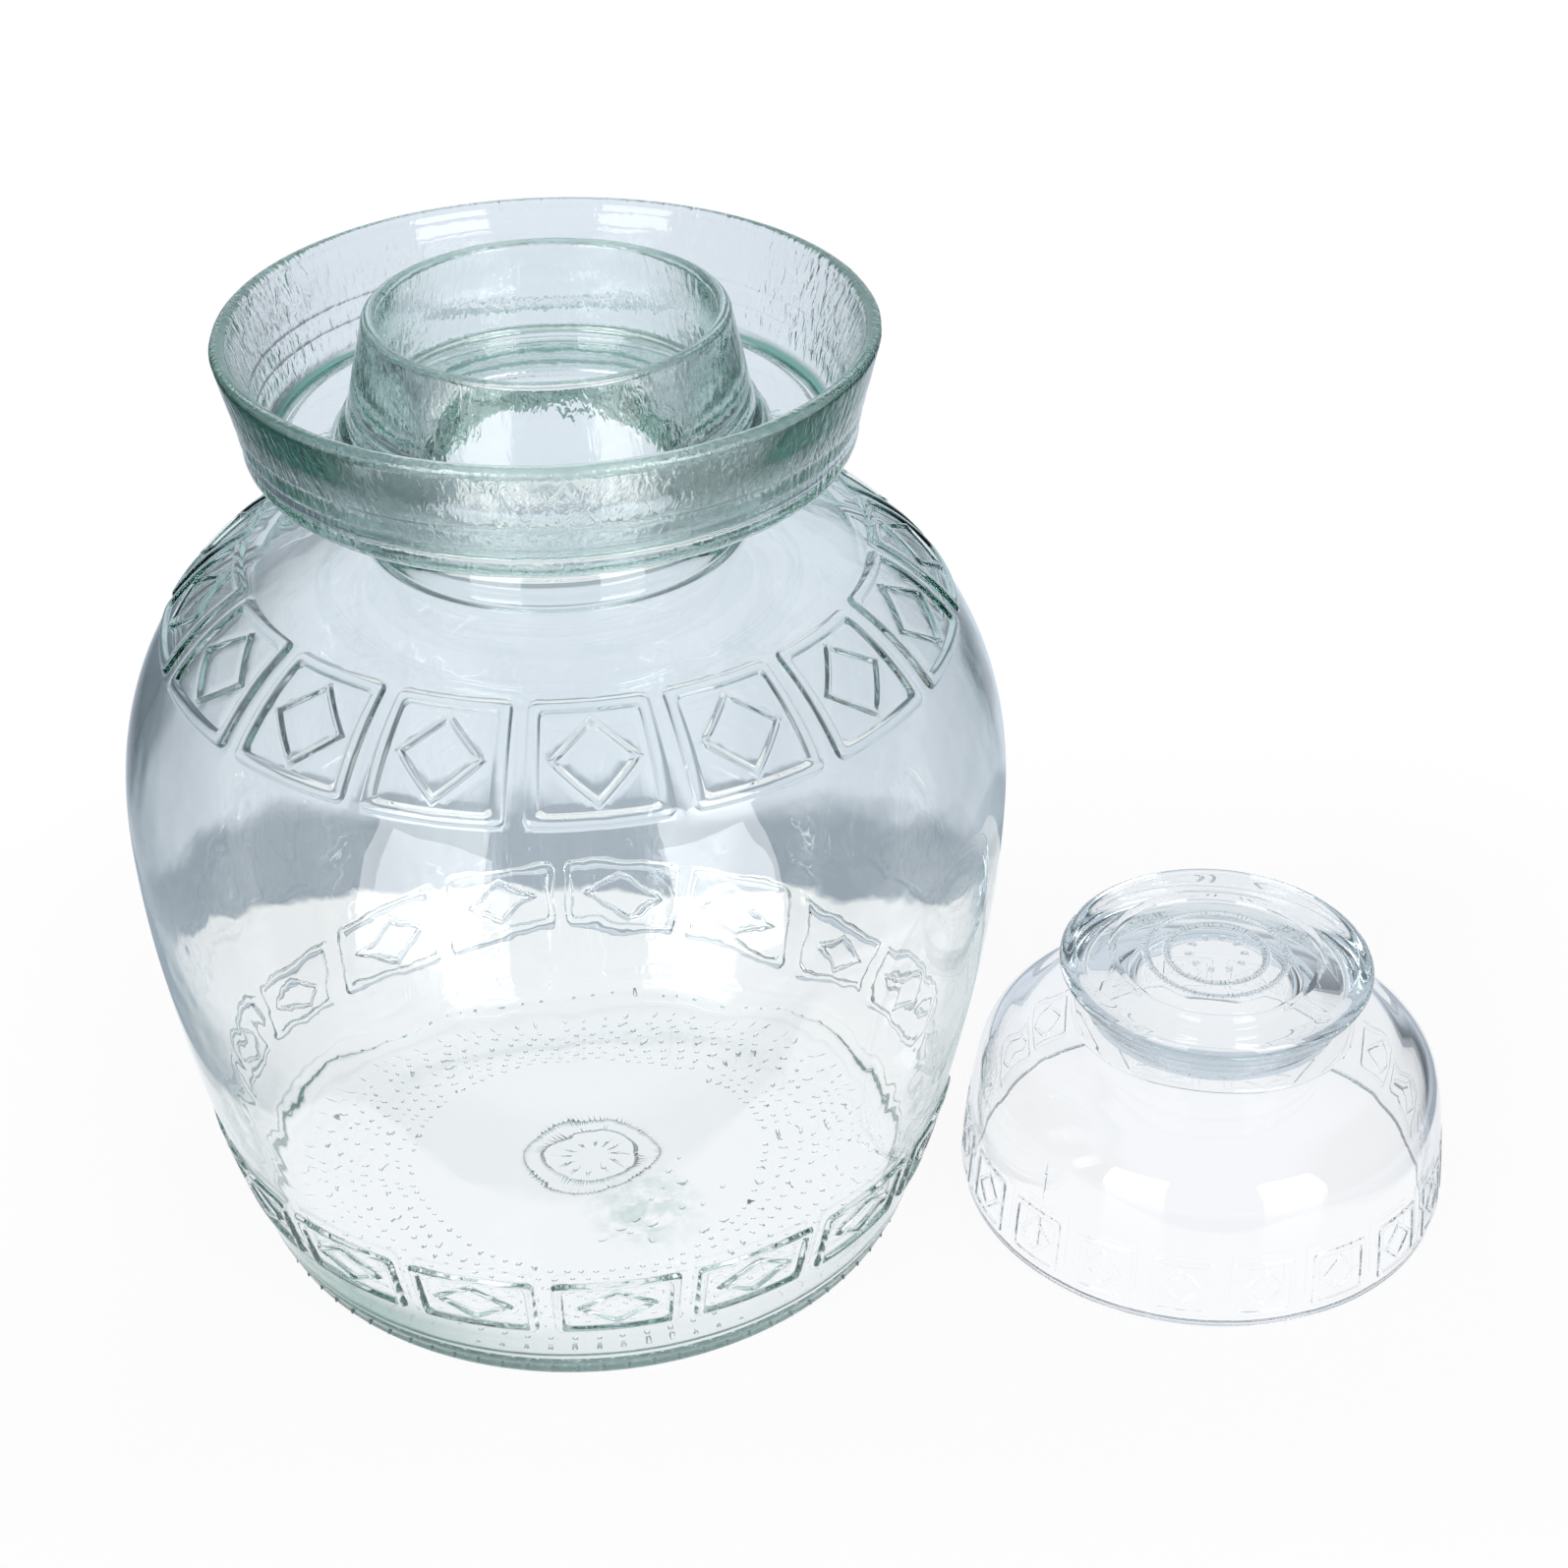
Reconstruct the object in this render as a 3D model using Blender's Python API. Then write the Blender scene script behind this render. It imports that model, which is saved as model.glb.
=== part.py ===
"""Glass pickling jar with a water-seal basin and a loose bowl lid.

Units are metres and +Z is up. The origin is on the jar's axis, in the plane that the jar stands on.
The jar is two pieces of glass: a blown vessel, and a pressed basin fused on its neck. The basin holds
a ring of water round the mouth, and the lid is a pressed bowl whose rim dips into that water. Here the
lid stands mouth down beside the jar. Three bands of raised square frames run round the glass, on the
shoulder, above the heel and at the lid's rim, and each frame has a raised diamond inside.
"""

import math

import bmesh
import bpy
from mathutils.geometry import delaunay_2d_cdt

# Vessel
BELLY_RADIUS = 0.1125
BELLY_HEIGHT = 0.1296
HEEL_RADIUS = 0.0880
HEEL_ROUND = 0.0050
FOOT_WIDTH = 0.0130
PUNT_DEPTH = 0.0015
PUNT_SLOPE = 0.0020
BODY_WALL = 0.0035
FLOOR_THICKNESS = 0.0060
FLOOR_FILLET = 0.0120
FLARE_POWER = 1.8
SHOULDER_POWER = 2.1

# Heights of the neck and shoulder, measured down from the floor of the trough
TROUGH_HEIGHT = 0.2280
BASIN_FLOOR = 0.0055
NECK_REACH = 0.0160
NECK_RISE = 0.0038
FUSED_GAP = 0.0003
UNDERSIDE_HEIGHT = TROUGH_HEIGHT - BASIN_FLOOR
JOINT_HEIGHT = UNDERSIDE_HEIGHT - NECK_REACH
SHOULDER_HEIGHT = JOINT_HEIGHT - NECK_RISE

# Heights of the basin and mouth collar, measured up from the floor of the trough
LEDGE_RISE = 0.0025
LEDGE_SLOPE = 0.0025
BASIN_DEPTH = 0.0272
COLLAR_RISE = 0.0305
COLLAR_FOOT_RISE = 0.0050
COLLAR_FOOT_STEP = 0.0022
LOWER_STEP_RISE = 0.0054
UPPER_STEP_RISE = 0.0104
MOULD_STEP = 0.0005
LEDGE_HEIGHT = TROUGH_HEIGHT + LEDGE_RISE
BASIN_RIM_HEIGHT = TROUGH_HEIGHT + BASIN_DEPTH
COLLAR_HEIGHT = TROUGH_HEIGHT + COLLAR_RISE

# Radii of the neck, collar and basin, measured out from the bore
BORE_RADIUS = 0.0378
NECK_WALL = 0.0084
NECK_FILLET = 0.0025
LEDGE_WIDTH = 0.0015
COLLAR_FLARE = 0.0009
COLLAR_WALL = 0.0036
COLLAR_SPREAD = 0.0077
TROUGH_WIDTH = 0.0150
TROUGH_FILLET = 0.0040
BASIN_FOOT_WALL = 0.0041
BASIN_FLARE = 0.0046
BASIN_CORNER = 0.0045
BASIN_RIM_WALL = 0.0040
UNDERSIDE_FALL = 0.0015
UNDERSIDE_FILLET = 0.0035
NECK_RADIUS = BORE_RADIUS + NECK_WALL
THROAT_RADIUS = BORE_RADIUS + LEDGE_WIDTH
COLLAR_RADIUS = THROAT_RADIUS + COLLAR_FLARE + COLLAR_WALL
COLLAR_FOOT_RADIUS = COLLAR_RADIUS + COLLAR_SPREAD
TROUGH_RADIUS = COLLAR_FOOT_RADIUS + TROUGH_WIDTH
BASIN_FOOT_RADIUS = TROUGH_RADIUS + TROUGH_FILLET + BASIN_FOOT_WALL
BASIN_RIM_RADIUS = BASIN_FOOT_RADIUS + BASIN_FLARE

# Bowl lid, whose rim stands on the trough's floor when the jar is shut
LID_CLEARANCE = 0.0006
LID_DOME_HEIGHT = 0.0560
LID_WALL = 0.0036
LID_RIM_ROUND = 0.0012
LID_NECK_RADIUS = 0.0342
LID_NECK_RISE = 0.0015
LID_NECK_WALL = 0.0102
LID_FOOT_SPREAD = 0.0076
LID_FOOT_RISE = 0.0173
LID_FOOT_RING = 0.0142
LID_RECESS_DEPTH = 0.0026
LID_HOLLOW_RISE = 0.0040
LID_RADIUS = TROUGH_RADIUS - LID_CLEARANCE
LID_NECK_HEIGHT = LID_DOME_HEIGHT + LID_NECK_RISE
LID_FOOT_RADIUS = LID_NECK_RADIUS + LID_FOOT_SPREAD
LID_FOOT_HEIGHT = LID_NECK_HEIGHT + LID_FOOT_RISE
LID_RECESS_RADIUS = LID_FOOT_RADIUS - LID_FOOT_RING
LID_HOLLOW_RADIUS = LID_NECK_RADIUS - LID_NECK_WALL
LID_HOLLOW_HEIGHT = LID_DOME_HEIGHT + LID_HOLLOW_RISE

# Where the lid stands: its free gap to the vessel, and how far it is in front of the jar's axis
LID_STAND_OFF = 0.00924
LID_FORWARD = 0.0060

# Band of panels on the shoulder
SHOULDER_PANELS = 16
SHOULDER_BAND_DROP = 0.0272
SHOULDER_BAND_RISE = 0.0210
SHOULDER_PANEL_GAP = 0.0032
SHOULDER_BAR = 0.0038
SHOULDER_DIAMOND_WIDTH = 0.0196
SHOULDER_DIAMOND_HEIGHT = 0.0196
SHOULDER_BAND_LOW = SHOULDER_HEIGHT - SHOULDER_BAND_DROP

# Band of panels above the heel
HEEL_PANELS = 17
HEEL_BAND_LOW = 0.0215
HEEL_BAND_RISE = 0.0225
HEEL_PANEL_GAP = 0.0036
HEEL_BAR = 0.0032
HEEL_DIAMOND_WIDTH = 0.0190
HEEL_DIAMOND_HEIGHT = 0.0124

# Band of panels at the lid's rim
LID_PANELS = 19
LID_BAND_LOW = 0.0038
LID_BAND_RISE = 0.0182
LID_PANEL_GAP = 0.0045
LID_BAR = 0.0022
LID_DIAMOND_WIDTH = 0.0100
LID_DIAMOND_HEIGHT = 0.0106

# Relief that all the bands share
RELIEF = 0.0009
RELIEF_SLOPE = 0.0005
DIAMOND_BAR = 0.0022
WELD = 0.00001

# Directions from the jar's axis to the middle of one panel, in degrees from +X
SHOULDER_PANEL_TURN = -81.6
HEEL_PANEL_TURN = -82.4
LID_PANEL_TURN = -82.3

# Facets: columns and rows in one panel, and sides of the plain rings
JAR_COLUMNS = 3
LID_COLUMNS = 2
SHOULDER_ROWS = 3
HEEL_ROWS = 1
LID_ROWS = 1
LOWER_ROWS = 4
UPPER_ROWS = 3
INNER_SHOULDER_ROWS = 8
INNER_SIDES = 40
BASIN_SIDES = 48
LID_SIDES = 40
ARC_FACETS = 2
ARC_STEPS = 48

# Lid dome, as (height share of the dome, radius share of the lid) from the rim to the foot's neck
LID_DOME_SHARES = (
    (0.0, 0.993), (0.05, 1.0), (0.18, 0.995), (0.36, 0.982), (0.55, 0.965), (0.73, 0.924),
    (0.85, 0.824), (0.91, 0.712), (0.98, 0.560),
)
# Lid foot, as (height share from its neck to its top, radius share from its neck to its edge)
LID_FOOT_SHARES = (
    (0.0, 0.0), (0.16, 0.06), (0.40, 0.42), (0.62, 0.84), (0.80, 1.0), (0.93, 0.83), (1.0, 0.42),
)
# Roof of the lid's hollow, as (radius share of the hollow, drop share down to the dome's inside)
LID_HOLLOW_SHARES = ((0.6, 0.0), (0.85, 0.2), (1.0, 0.6))

GLASS_IOR = 1.52


def clear_scene():
    """Removes what the scene holds."""
    for thing in list(bpy.data.objects):
        bpy.data.objects.remove(thing)


def glass(name, colour, roughness):
    """A clear glass material."""
    material = bpy.data.materials.new(name)
    material.use_nodes = True
    shader = material.node_tree.nodes["Principled BSDF"]
    shader.inputs["Base Color"].default_value = (*colour, 1.0)
    shader.inputs["Metallic"].default_value = 0.0
    shader.inputs["Roughness"].default_value = roughness
    shader.inputs["IOR"].default_value = GLASS_IOR
    shader.inputs["Transmission Weight"].default_value = 1.0
    return material


def arc(centre, radius, start, end, facets=ARC_FACETS):
    """Points of an arc in the (radius, height) plane, between two angles in degrees."""
    points = []
    for step in range(facets + 1):
        angle = math.radians(start + (end - start) * step / facets)
        points.append((centre[0] + radius * math.cos(angle), centre[1] + radius * math.sin(angle)))
    return points


def smooth(points, facets):
    """A smooth curve through points in the plane, with some facets to each span."""
    ends = [points[0], *points, points[-1]]
    curve = []
    for before, start, end, after in zip(ends, ends[1:], ends[2:], ends[3:]):
        for step in range(facets):
            t = step / facets
            weights = (
                (-t + 2 * t**2 - t**3) / 2,
                (2 - 5 * t**2 + 3 * t**3) / 2,
                (t + 4 * t**2 - 3 * t**3) / 2,
                (t**3 - t**2) / 2,
            )
            corners = (before, start, end, after)
            curve.append(tuple(sum(w * p[axis] for w, p in zip(weights, corners)) for axis in (0, 1)))
    curve.append(points[-1])
    return curve


def shoulder_share(rise):
    """How far the shoulder still stands out from the neck, at a share of its rise."""
    return (1.0 - min(rise, 1.0) ** SHOULDER_POWER) ** (1.0 / SHOULDER_POWER)


def vessel_radius(height, wall=0.0):
    """Radius of the vessel at a height: outside, or inside where a wall is given."""
    belly = BELLY_RADIUS - wall
    heel = HEEL_RADIUS - wall
    if height <= BELLY_HEIGHT:
        return heel + (belly - heel) * (1.0 - (1.0 - height / BELLY_HEIGHT) ** FLARE_POWER)
    neck = BORE_RADIUS if wall else NECK_RADIUS + NECK_FILLET
    rise = (height - BELLY_HEIGHT) / (SHOULDER_HEIGHT - wall - BELLY_HEIGHT)
    return neck + (belly - neck) * shoulder_share(rise)


def shoulder_heights(low, facets, wall=0.0):
    """Heights from a place on the shoulder to its top, closer together towards the top."""
    top = SHOULDER_HEIGHT - wall
    first = math.asin(((low - BELLY_HEIGHT) / (top - BELLY_HEIGHT)) ** (SHOULDER_POWER / 2))
    heights = []
    for step in range(facets + 1):
        angle = first + (math.pi / 2 - first) * step / facets
        heights.append(BELLY_HEIGHT + (top - BELLY_HEIGHT) * math.sin(angle) ** (2 / SHOULDER_POWER))
    return heights


def spread(low, high, count):
    """Evenly spaced values from low to high, both ends included."""
    return [low + (high - low) * step / count for step in range(count + 1)]


def lid_outline():
    """The dome of the lid, from its rim to the foot's neck, as (radius, height) points."""
    shares = smooth(LID_DOME_SHARES, ARC_FACETS)
    return [(radius * LID_RADIUS, height * LID_DOME_HEIGHT) for height, radius in shares]


def lid_radius(height):
    """Outer radius of the lid's dome at a height."""
    outline = lid_outline()
    for (r0, z0), (r1, z1) in zip(outline, outline[1:]):
        if height <= z1:
            return r0 + (r1 - r0) * (height - z0) / (z1 - z0)
    return outline[-1][0]


class Skin:
    """A closed glass surface, built ring by ring round one axis."""

    def __init__(self, centre=(0.0, 0.0)):
        self.mesh = bmesh.new()
        self.centre = centre
        self.last = None
        self.first = None

    def vertex(self, radius, height, angle):
        """A vertex at a radius, height and angle round the axis."""
        x = self.centre[0] + radius * math.cos(angle)
        y = self.centre[1] + radius * math.sin(angle)
        return self.mesh.verts.new((x, y, height))

    def ring(self, radius, height, sides, turn=0.0):
        """Adds a ring and closes the strip from the ring before it. The turn is in radians."""
        step = math.tau / sides
        angles = [turn % step + step * k for k in range(sides)]
        ring = [(angle, self.vertex(radius, height, angle)) for angle in angles]
        if self.last:
            self.strip(self.last, ring)
        self.first = self.first or ring
        self.last = ring

    def rings(self, outline, sides, turn=0.0):
        """Adds a ring at each point of an outline."""
        for radius, height in outline:
            self.ring(radius, height, sides, turn)

    def strip(self, low, high):
        """Faces between two rings, which may differ in how many sides they have."""
        step_low, step_high = math.tau / len(low), math.tau / len(high)
        if len(low) == len(high) and abs(low[0][0] - high[0][0]) < step_low * step_low:
            for k, (_, corner) in enumerate(low):
                n = (k + 1) % len(low)
                self.mesh.faces.new((corner, low[n][1], high[n][1], high[k][1]))
            return
        i = j = 0
        while i < len(low) or j < len(high):
            a, b = low[i % len(low)][1], high[j % len(high)][1]
            next_low = low[0][0] + step_low * (i + 1)
            next_high = high[0][0] + step_high * (j + 1)
            if j >= len(high) or (i < len(low) and next_low <= next_high):
                i += 1
                self.mesh.faces.new((a, low[i % len(low)][1], b))
            else:
                j += 1
                self.mesh.faces.new((a, high[j % len(high)][1], b))

    def pole(self, height):
        """A point on the axis: opens the surface if it is the first thing, and closes it otherwise."""
        point = self.vertex(0.0, height, 0.0)
        if self.last is None:
            self.start = point
            return
        for k, (_, corner) in enumerate(self.last):
            self.mesh.faces.new((corner, self.last[(k + 1) % len(self.last)][1], point))

    def open_pole(self):
        """Closes the first ring onto the point that the surface started from."""
        for k, (_, corner) in enumerate(self.first):
            self.mesh.faces.new((self.start, self.first[(k + 1) % len(self.first)][1], corner))

    def close_loop(self):
        """Joins the last ring to the first."""
        self.strip(self.last, self.first)

    def band(self, panel, radius_at, turn):
        """Adds a band of raised panels that continues from the ring before it."""
        heights, lengths = arc_lengths(radius_at, panel["low"], panel["high"])
        mean = sum(radius_at(z) for z in heights) / len(heights)
        width = math.tau * mean / panel["count"]
        points, faces = panel_cell(panel, width, lengths[-1])
        pitch = math.tau / panel["count"]
        sides = panel["count"] * panel["columns"]
        start = turn - pitch / 2
        self.ring(radius_at(panel["low"]), panel["low"], sides, start)
        for cell in range(panel["count"]):
            corners = []
            for x, y, lift in points:
                height = height_along(heights, lengths, y)
                angle = start + pitch * (cell + x / width)
                out, up = outward(radius_at, height, panel["high"] - panel["low"])
                corners.append(self.vertex(radius_at(height) + lift * out, height + lift * up, angle))
            for face in faces:
                self.mesh.faces.new([corners[k] for k in face])
        self.last = None
        self.ring(radius_at(panel["high"]), panel["high"], sides, start)

    def finish(self, name, material):
        """Welds the surface and makes it an object."""
        bmesh.ops.remove_doubles(self.mesh, verts=self.mesh.verts, dist=WELD)
        data = bpy.data.meshes.new(name)
        self.mesh.to_mesh(data)
        self.mesh.free()
        data.shade_smooth()
        data.set_sharp_from_angle(angle=math.radians(40))
        data.materials.append(material)
        thing = bpy.data.objects.new(name, data)
        bpy.context.scene.collection.objects.link(thing)
        return thing


def arc_lengths(radius_at, low, high):
    """Heights along an outline between two levels, and the length of the outline up to each."""
    heights = spread(low, high, ARC_STEPS)
    lengths = [0.0]
    for z0, z1 in zip(heights, heights[1:]):
        lengths.append(lengths[-1] + math.hypot(z1 - z0, radius_at(z1) - radius_at(z0)))
    return heights, lengths


def height_along(heights, lengths, length):
    """The height at a length along an outline."""
    for k in range(1, len(lengths)):
        if length <= lengths[k]:
            share = (length - lengths[k - 1]) / (lengths[k] - lengths[k - 1])
            return heights[k - 1] + (heights[k] - heights[k - 1]) * share
    return heights[-1]


def outward(radius_at, height, span):
    """The direction square to an outline at a height, as (radial, vertical) parts."""
    step = span / ARC_STEPS
    slope = (radius_at(height + step) - radius_at(height - step)) / (2 * step)
    return 1 / math.hypot(1, slope), -slope / math.hypot(1, slope)


def subdivided(corners, column, row):
    """A closed outline with its long edges cut to follow the curve of the glass."""
    points = []
    for (x0, y0), (x1, y1) in zip(corners, corners[1:] + corners[:1]):
        cuts = max(1, round(abs(x1 - x0) / column), round(abs(y1 - y0) / row))
        points += [(x0 + (x1 - x0) * k / cuts, y0 + (y1 - y0) * k / cuts) for k in range(cuts)]
    return points


def rectangle(width, height, inset_x, inset_y):
    """Corners of a rectangle inside a cell."""
    return [
        (inset_x, inset_y), (width - inset_x, inset_y),
        (width - inset_x, height - inset_y), (inset_x, height - inset_y),
    ]


def diamond(width, height, half_x, half_y, grow):
    """Corners of a diamond in the middle of a cell, its sides moved out by some length."""
    edge = half_x * half_y / math.hypot(half_x, half_y)
    scale = 1.0 + grow / edge
    x, y = width / 2, height / 2
    return [
        (x - half_x * scale, y), (x, y - half_y * scale),
        (x + half_x * scale, y), (x, y + half_y * scale),
    ]


def panel_cell(panel, width, height):
    """One panel laid flat: points as (across, up, lift), and its triangles."""
    column, row = width / panel["columns"], height / panel["rows"]
    points, edges = [], []

    def outline(corners, lift):
        loop = subdivided(corners, column, row)
        first = len(points)
        points.extend((x, y, lift) for x, y in loop)
        edges.extend((first + k, first + (k + 1) % len(loop)) for k in range(len(loop)))

    outline(rectangle(width, height, 0.0, 0.0), 0.0)
    side = panel["gap"] / 2
    bar = panel["bar"]
    for inset, lift in ((0.0, 0.0), (RELIEF_SLOPE, RELIEF), (bar - RELIEF_SLOPE, RELIEF), (bar, 0.0)):
        outline(rectangle(width, height, side + inset, RELIEF_SLOPE + inset), lift)
    half = DIAMOND_BAR / 2
    crest = half - RELIEF_SLOPE
    across, up = panel["diamond_width"] / 2, panel["diamond_height"] / 2
    for grow, lift in ((half, 0.0), (crest, RELIEF), (-crest, RELIEF), (-half, 0.0)):
        outline(diamond(width, height, across, up, grow), lift)
    points.append((width / 2, height / 2, 0.0))
    flat = [(x, y) for x, y, _ in points]
    made, _, faces, sources, _, _ = delaunay_2d_cdt(flat, edges, [], 0, WELD / 100)
    lifts = [points[source[0]][2] if source else 0.0 for source in sources]
    return [(p[0], p[1], lift) for p, lift in zip(made, lifts)], faces


def build_vessel():
    """The blown vessel: base, belly, shoulder and neck, with its two bands of panels."""
    heel_turn, shoulder_turn = math.radians(HEEL_PANEL_TURN), math.radians(SHOULDER_PANEL_TURN)
    heel_band = {
        "count": HEEL_PANELS, "low": HEEL_BAND_LOW, "high": HEEL_BAND_LOW + HEEL_BAND_RISE,
        "gap": HEEL_PANEL_GAP, "bar": HEEL_BAR, "columns": JAR_COLUMNS, "rows": HEEL_ROWS,
        "diamond_width": HEEL_DIAMOND_WIDTH, "diamond_height": HEEL_DIAMOND_HEIGHT,
    }
    shoulder_band = {
        "count": SHOULDER_PANELS,
        "low": SHOULDER_BAND_LOW, "high": SHOULDER_BAND_LOW + SHOULDER_BAND_RISE,
        "gap": SHOULDER_PANEL_GAP, "bar": SHOULDER_BAR, "columns": JAR_COLUMNS, "rows": SHOULDER_ROWS,
        "diamond_width": SHOULDER_DIAMOND_WIDTH, "diamond_height": SHOULDER_DIAMOND_HEIGHT,
    }
    heel_sides = HEEL_PANELS * JAR_COLUMNS
    heel_start = heel_turn - math.pi / HEEL_PANELS
    shoulder_sides = SHOULDER_PANELS * JAR_COLUMNS
    shoulder_start = shoulder_turn - math.pi / SHOULDER_PANELS

    skin = Skin()
    skin.pole(PUNT_DEPTH)
    foot_radius = vessel_radius(HEEL_ROUND) - HEEL_ROUND
    punt_radius = foot_radius - FOOT_WIDTH
    skin.rings([(punt_radius - PUNT_SLOPE, PUNT_DEPTH), (punt_radius, 0.0)], heel_sides, heel_start)
    skin.rings(arc((foot_radius, HEEL_ROUND), HEEL_ROUND, -90, 0), heel_sides, heel_start)
    skin.band(heel_band, vessel_radius, heel_turn)
    walls = spread(heel_band["high"], BELLY_HEIGHT, LOWER_ROWS)[1:]
    walls += spread(BELLY_HEIGHT, shoulder_band["low"], UPPER_ROWS)[1:-1]
    skin.rings([(vessel_radius(z), z) for z in walls], shoulder_sides, shoulder_start)
    skin.band(shoulder_band, vessel_radius, shoulder_turn)
    for z in shoulder_heights(shoulder_band["high"], UPPER_ROWS)[1:-1]:
        skin.ring(vessel_radius(z), z, BASIN_SIDES)
    fillet = arc((NECK_RADIUS + NECK_FILLET, SHOULDER_HEIGHT + NECK_FILLET), NECK_FILLET, 270, 180)
    skin.rings([*fillet, (NECK_RADIUS, JOINT_HEIGHT), (BORE_RADIUS, JOINT_HEIGHT)], BASIN_SIDES)

    inner_low = FLOOR_THICKNESS + FLOOR_FILLET
    levels = spread(inner_low, BELLY_HEIGHT, LOWER_ROWS)[:-1]
    levels += shoulder_heights(BELLY_HEIGHT, INNER_SHOULDER_ROWS, BODY_WALL)
    inner = [(vessel_radius(z, BODY_WALL), z) for z in reversed(levels)]
    corner = vessel_radius(inner_low, BODY_WALL) - FLOOR_FILLET
    inner += arc((corner, inner_low), FLOOR_FILLET, 0, -90)[1:]
    skin.rings(inner, INNER_SIDES)
    skin.pole(FLOOR_THICKNESS)
    skin.open_pole()
    return skin.finish("jar_body", glass("pale_blown_glass", (0.93, 0.97, 0.96), 0.03))


def basin_outline():
    """The section of the basin and collar, anticlockwise from the bore's lower edge."""
    lower = JOINT_HEIGHT + FUSED_GAP
    rim_round = BASIN_RIM_WALL / 2
    rim_level = BASIN_RIM_HEIGHT - rim_round
    corner_level = UNDERSIDE_HEIGHT + UNDERSIDE_FALL + BASIN_CORNER
    slope = (BASIN_RIM_RADIUS - BASIN_FOOT_RADIUS) / (rim_level - corner_level)

    def wall(height):
        return BASIN_FOOT_RADIUS + slope * (height - corner_level)

    outline = [(BORE_RADIUS, lower), (NECK_RADIUS, lower)]
    fillet = (NECK_RADIUS + UNDERSIDE_FILLET, UNDERSIDE_HEIGHT - UNDERSIDE_FILLET)
    outline += arc(fillet, UNDERSIDE_FILLET, 180, 90)
    outline += arc((BASIN_FOOT_RADIUS - BASIN_CORNER, corner_level), BASIN_CORNER, -90, 0)
    for height in (TROUGH_HEIGHT + LOWER_STEP_RISE, TROUGH_HEIGHT + UPPER_STEP_RISE):
        outline += [(wall(height) - MOULD_STEP, height), (wall(height), height + MOULD_STEP)]
    outline += arc((BASIN_RIM_RADIUS - rim_round, rim_level), rim_round, 0, 180, 2 * ARC_FACETS)
    outline += arc((TROUGH_RADIUS, TROUGH_HEIGHT + TROUGH_FILLET), TROUGH_FILLET, 0, -90)
    foot_top = TROUGH_HEIGHT + COLLAR_FOOT_RISE
    outline += [
        (COLLAR_FOOT_RADIUS, TROUGH_HEIGHT),
        (COLLAR_FOOT_RADIUS - COLLAR_FOOT_STEP / 2, foot_top - COLLAR_FOOT_STEP),
        (COLLAR_FOOT_RADIUS - COLLAR_FOOT_STEP, foot_top),
    ]
    lip_round = COLLAR_WALL / 2
    lip_level = COLLAR_HEIGHT - lip_round
    outline += arc((COLLAR_RADIUS - lip_round, lip_level), lip_round, 0, 180, 2 * ARC_FACETS)
    outline += [(THROAT_RADIUS, LEDGE_HEIGHT + LEDGE_SLOPE), (BORE_RADIUS, LEDGE_HEIGHT)]
    return outline


def build_basin():
    """The pressed water basin with the mouth collar in its middle."""
    skin = Skin()
    skin.rings(basin_outline(), BASIN_SIDES)
    skin.close_loop()
    return skin.finish("water_basin", glass("green_pressed_glass", (0.80, 0.92, 0.88), 0.06))


def lid_centre():
    """Where the lid's axis stands, so that its dome keeps a free gap to the vessel beside it."""
    reach = max(vessel_radius(height) + radius for radius, height in lid_outline())
    return math.sqrt((reach + LID_STAND_OFF) ** 2 - LID_FORWARD**2), -LID_FORWARD


def build_lid():
    """The pressed bowl lid, mouth down beside the jar, with its foot on top."""
    turn = math.radians(LID_PANEL_TURN)
    band = {
        "count": LID_PANELS, "low": LID_BAND_LOW, "high": LID_BAND_LOW + LID_BAND_RISE,
        "gap": LID_PANEL_GAP, "bar": LID_BAR, "columns": LID_COLUMNS, "rows": LID_ROWS,
        "diamond_width": LID_DIAMOND_WIDTH, "diamond_height": LID_DIAMOND_HEIGHT,
    }
    sides = LID_PANELS * LID_COLUMNS
    start = turn - math.pi / LID_PANELS
    outline = lid_outline()
    rim = outline[0][0]

    skin = Skin(lid_centre())
    skin.pole(LID_HOLLOW_HEIGHT)
    fall = LID_HOLLOW_HEIGHT - LID_DOME_HEIGHT + LID_WALL
    hollow = [
        (LID_HOLLOW_RADIUS * radius, LID_HOLLOW_HEIGHT - fall * drop) for radius, drop in LID_HOLLOW_SHARES
    ]
    inside = [
        (radius - LID_WALL, height - LID_WALL * height / LID_DOME_HEIGHT)
        for radius, height in reversed(outline[2::2])
        if radius - LID_WALL > LID_HOLLOW_RADIUS
    ]
    skin.rings(hollow + inside, LID_SIDES)
    skin.rings([(rim - LID_WALL + LID_RIM_ROUND, 0.0), (rim - LID_RIM_ROUND, 0.0)], sides, start)
    skin.band(band, lid_radius, turn)
    skin.rings([point for point in outline if point[1] > band["high"]], sides, start)
    foot = [
        (
            LID_NECK_RADIUS + (LID_FOOT_RADIUS - LID_NECK_RADIUS) * radius,
            LID_NECK_HEIGHT + (LID_FOOT_HEIGHT - LID_NECK_HEIGHT) * height,
        )
        for height, radius in smooth(LID_FOOT_SHARES, ARC_FACETS)
    ]
    skin.rings(foot, LID_SIDES)
    recess = LID_FOOT_HEIGHT - LID_RECESS_DEPTH
    skin.ring(LID_RECESS_RADIUS, LID_FOOT_HEIGHT - LID_RECESS_DEPTH / 2, LID_SIDES)
    skin.ring(LID_RECESS_RADIUS - LID_RECESS_DEPTH, recess, LID_SIDES)
    skin.pole(recess)
    skin.open_pole()
    return skin.finish("bowl_lid", glass("clear_pressed_glass", (0.96, 0.98, 0.99), 0.03))


def main():
    """Builds the three pieces of glass."""
    clear_scene()
    build_vessel()
    build_basin()
    build_lid()


main()
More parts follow.
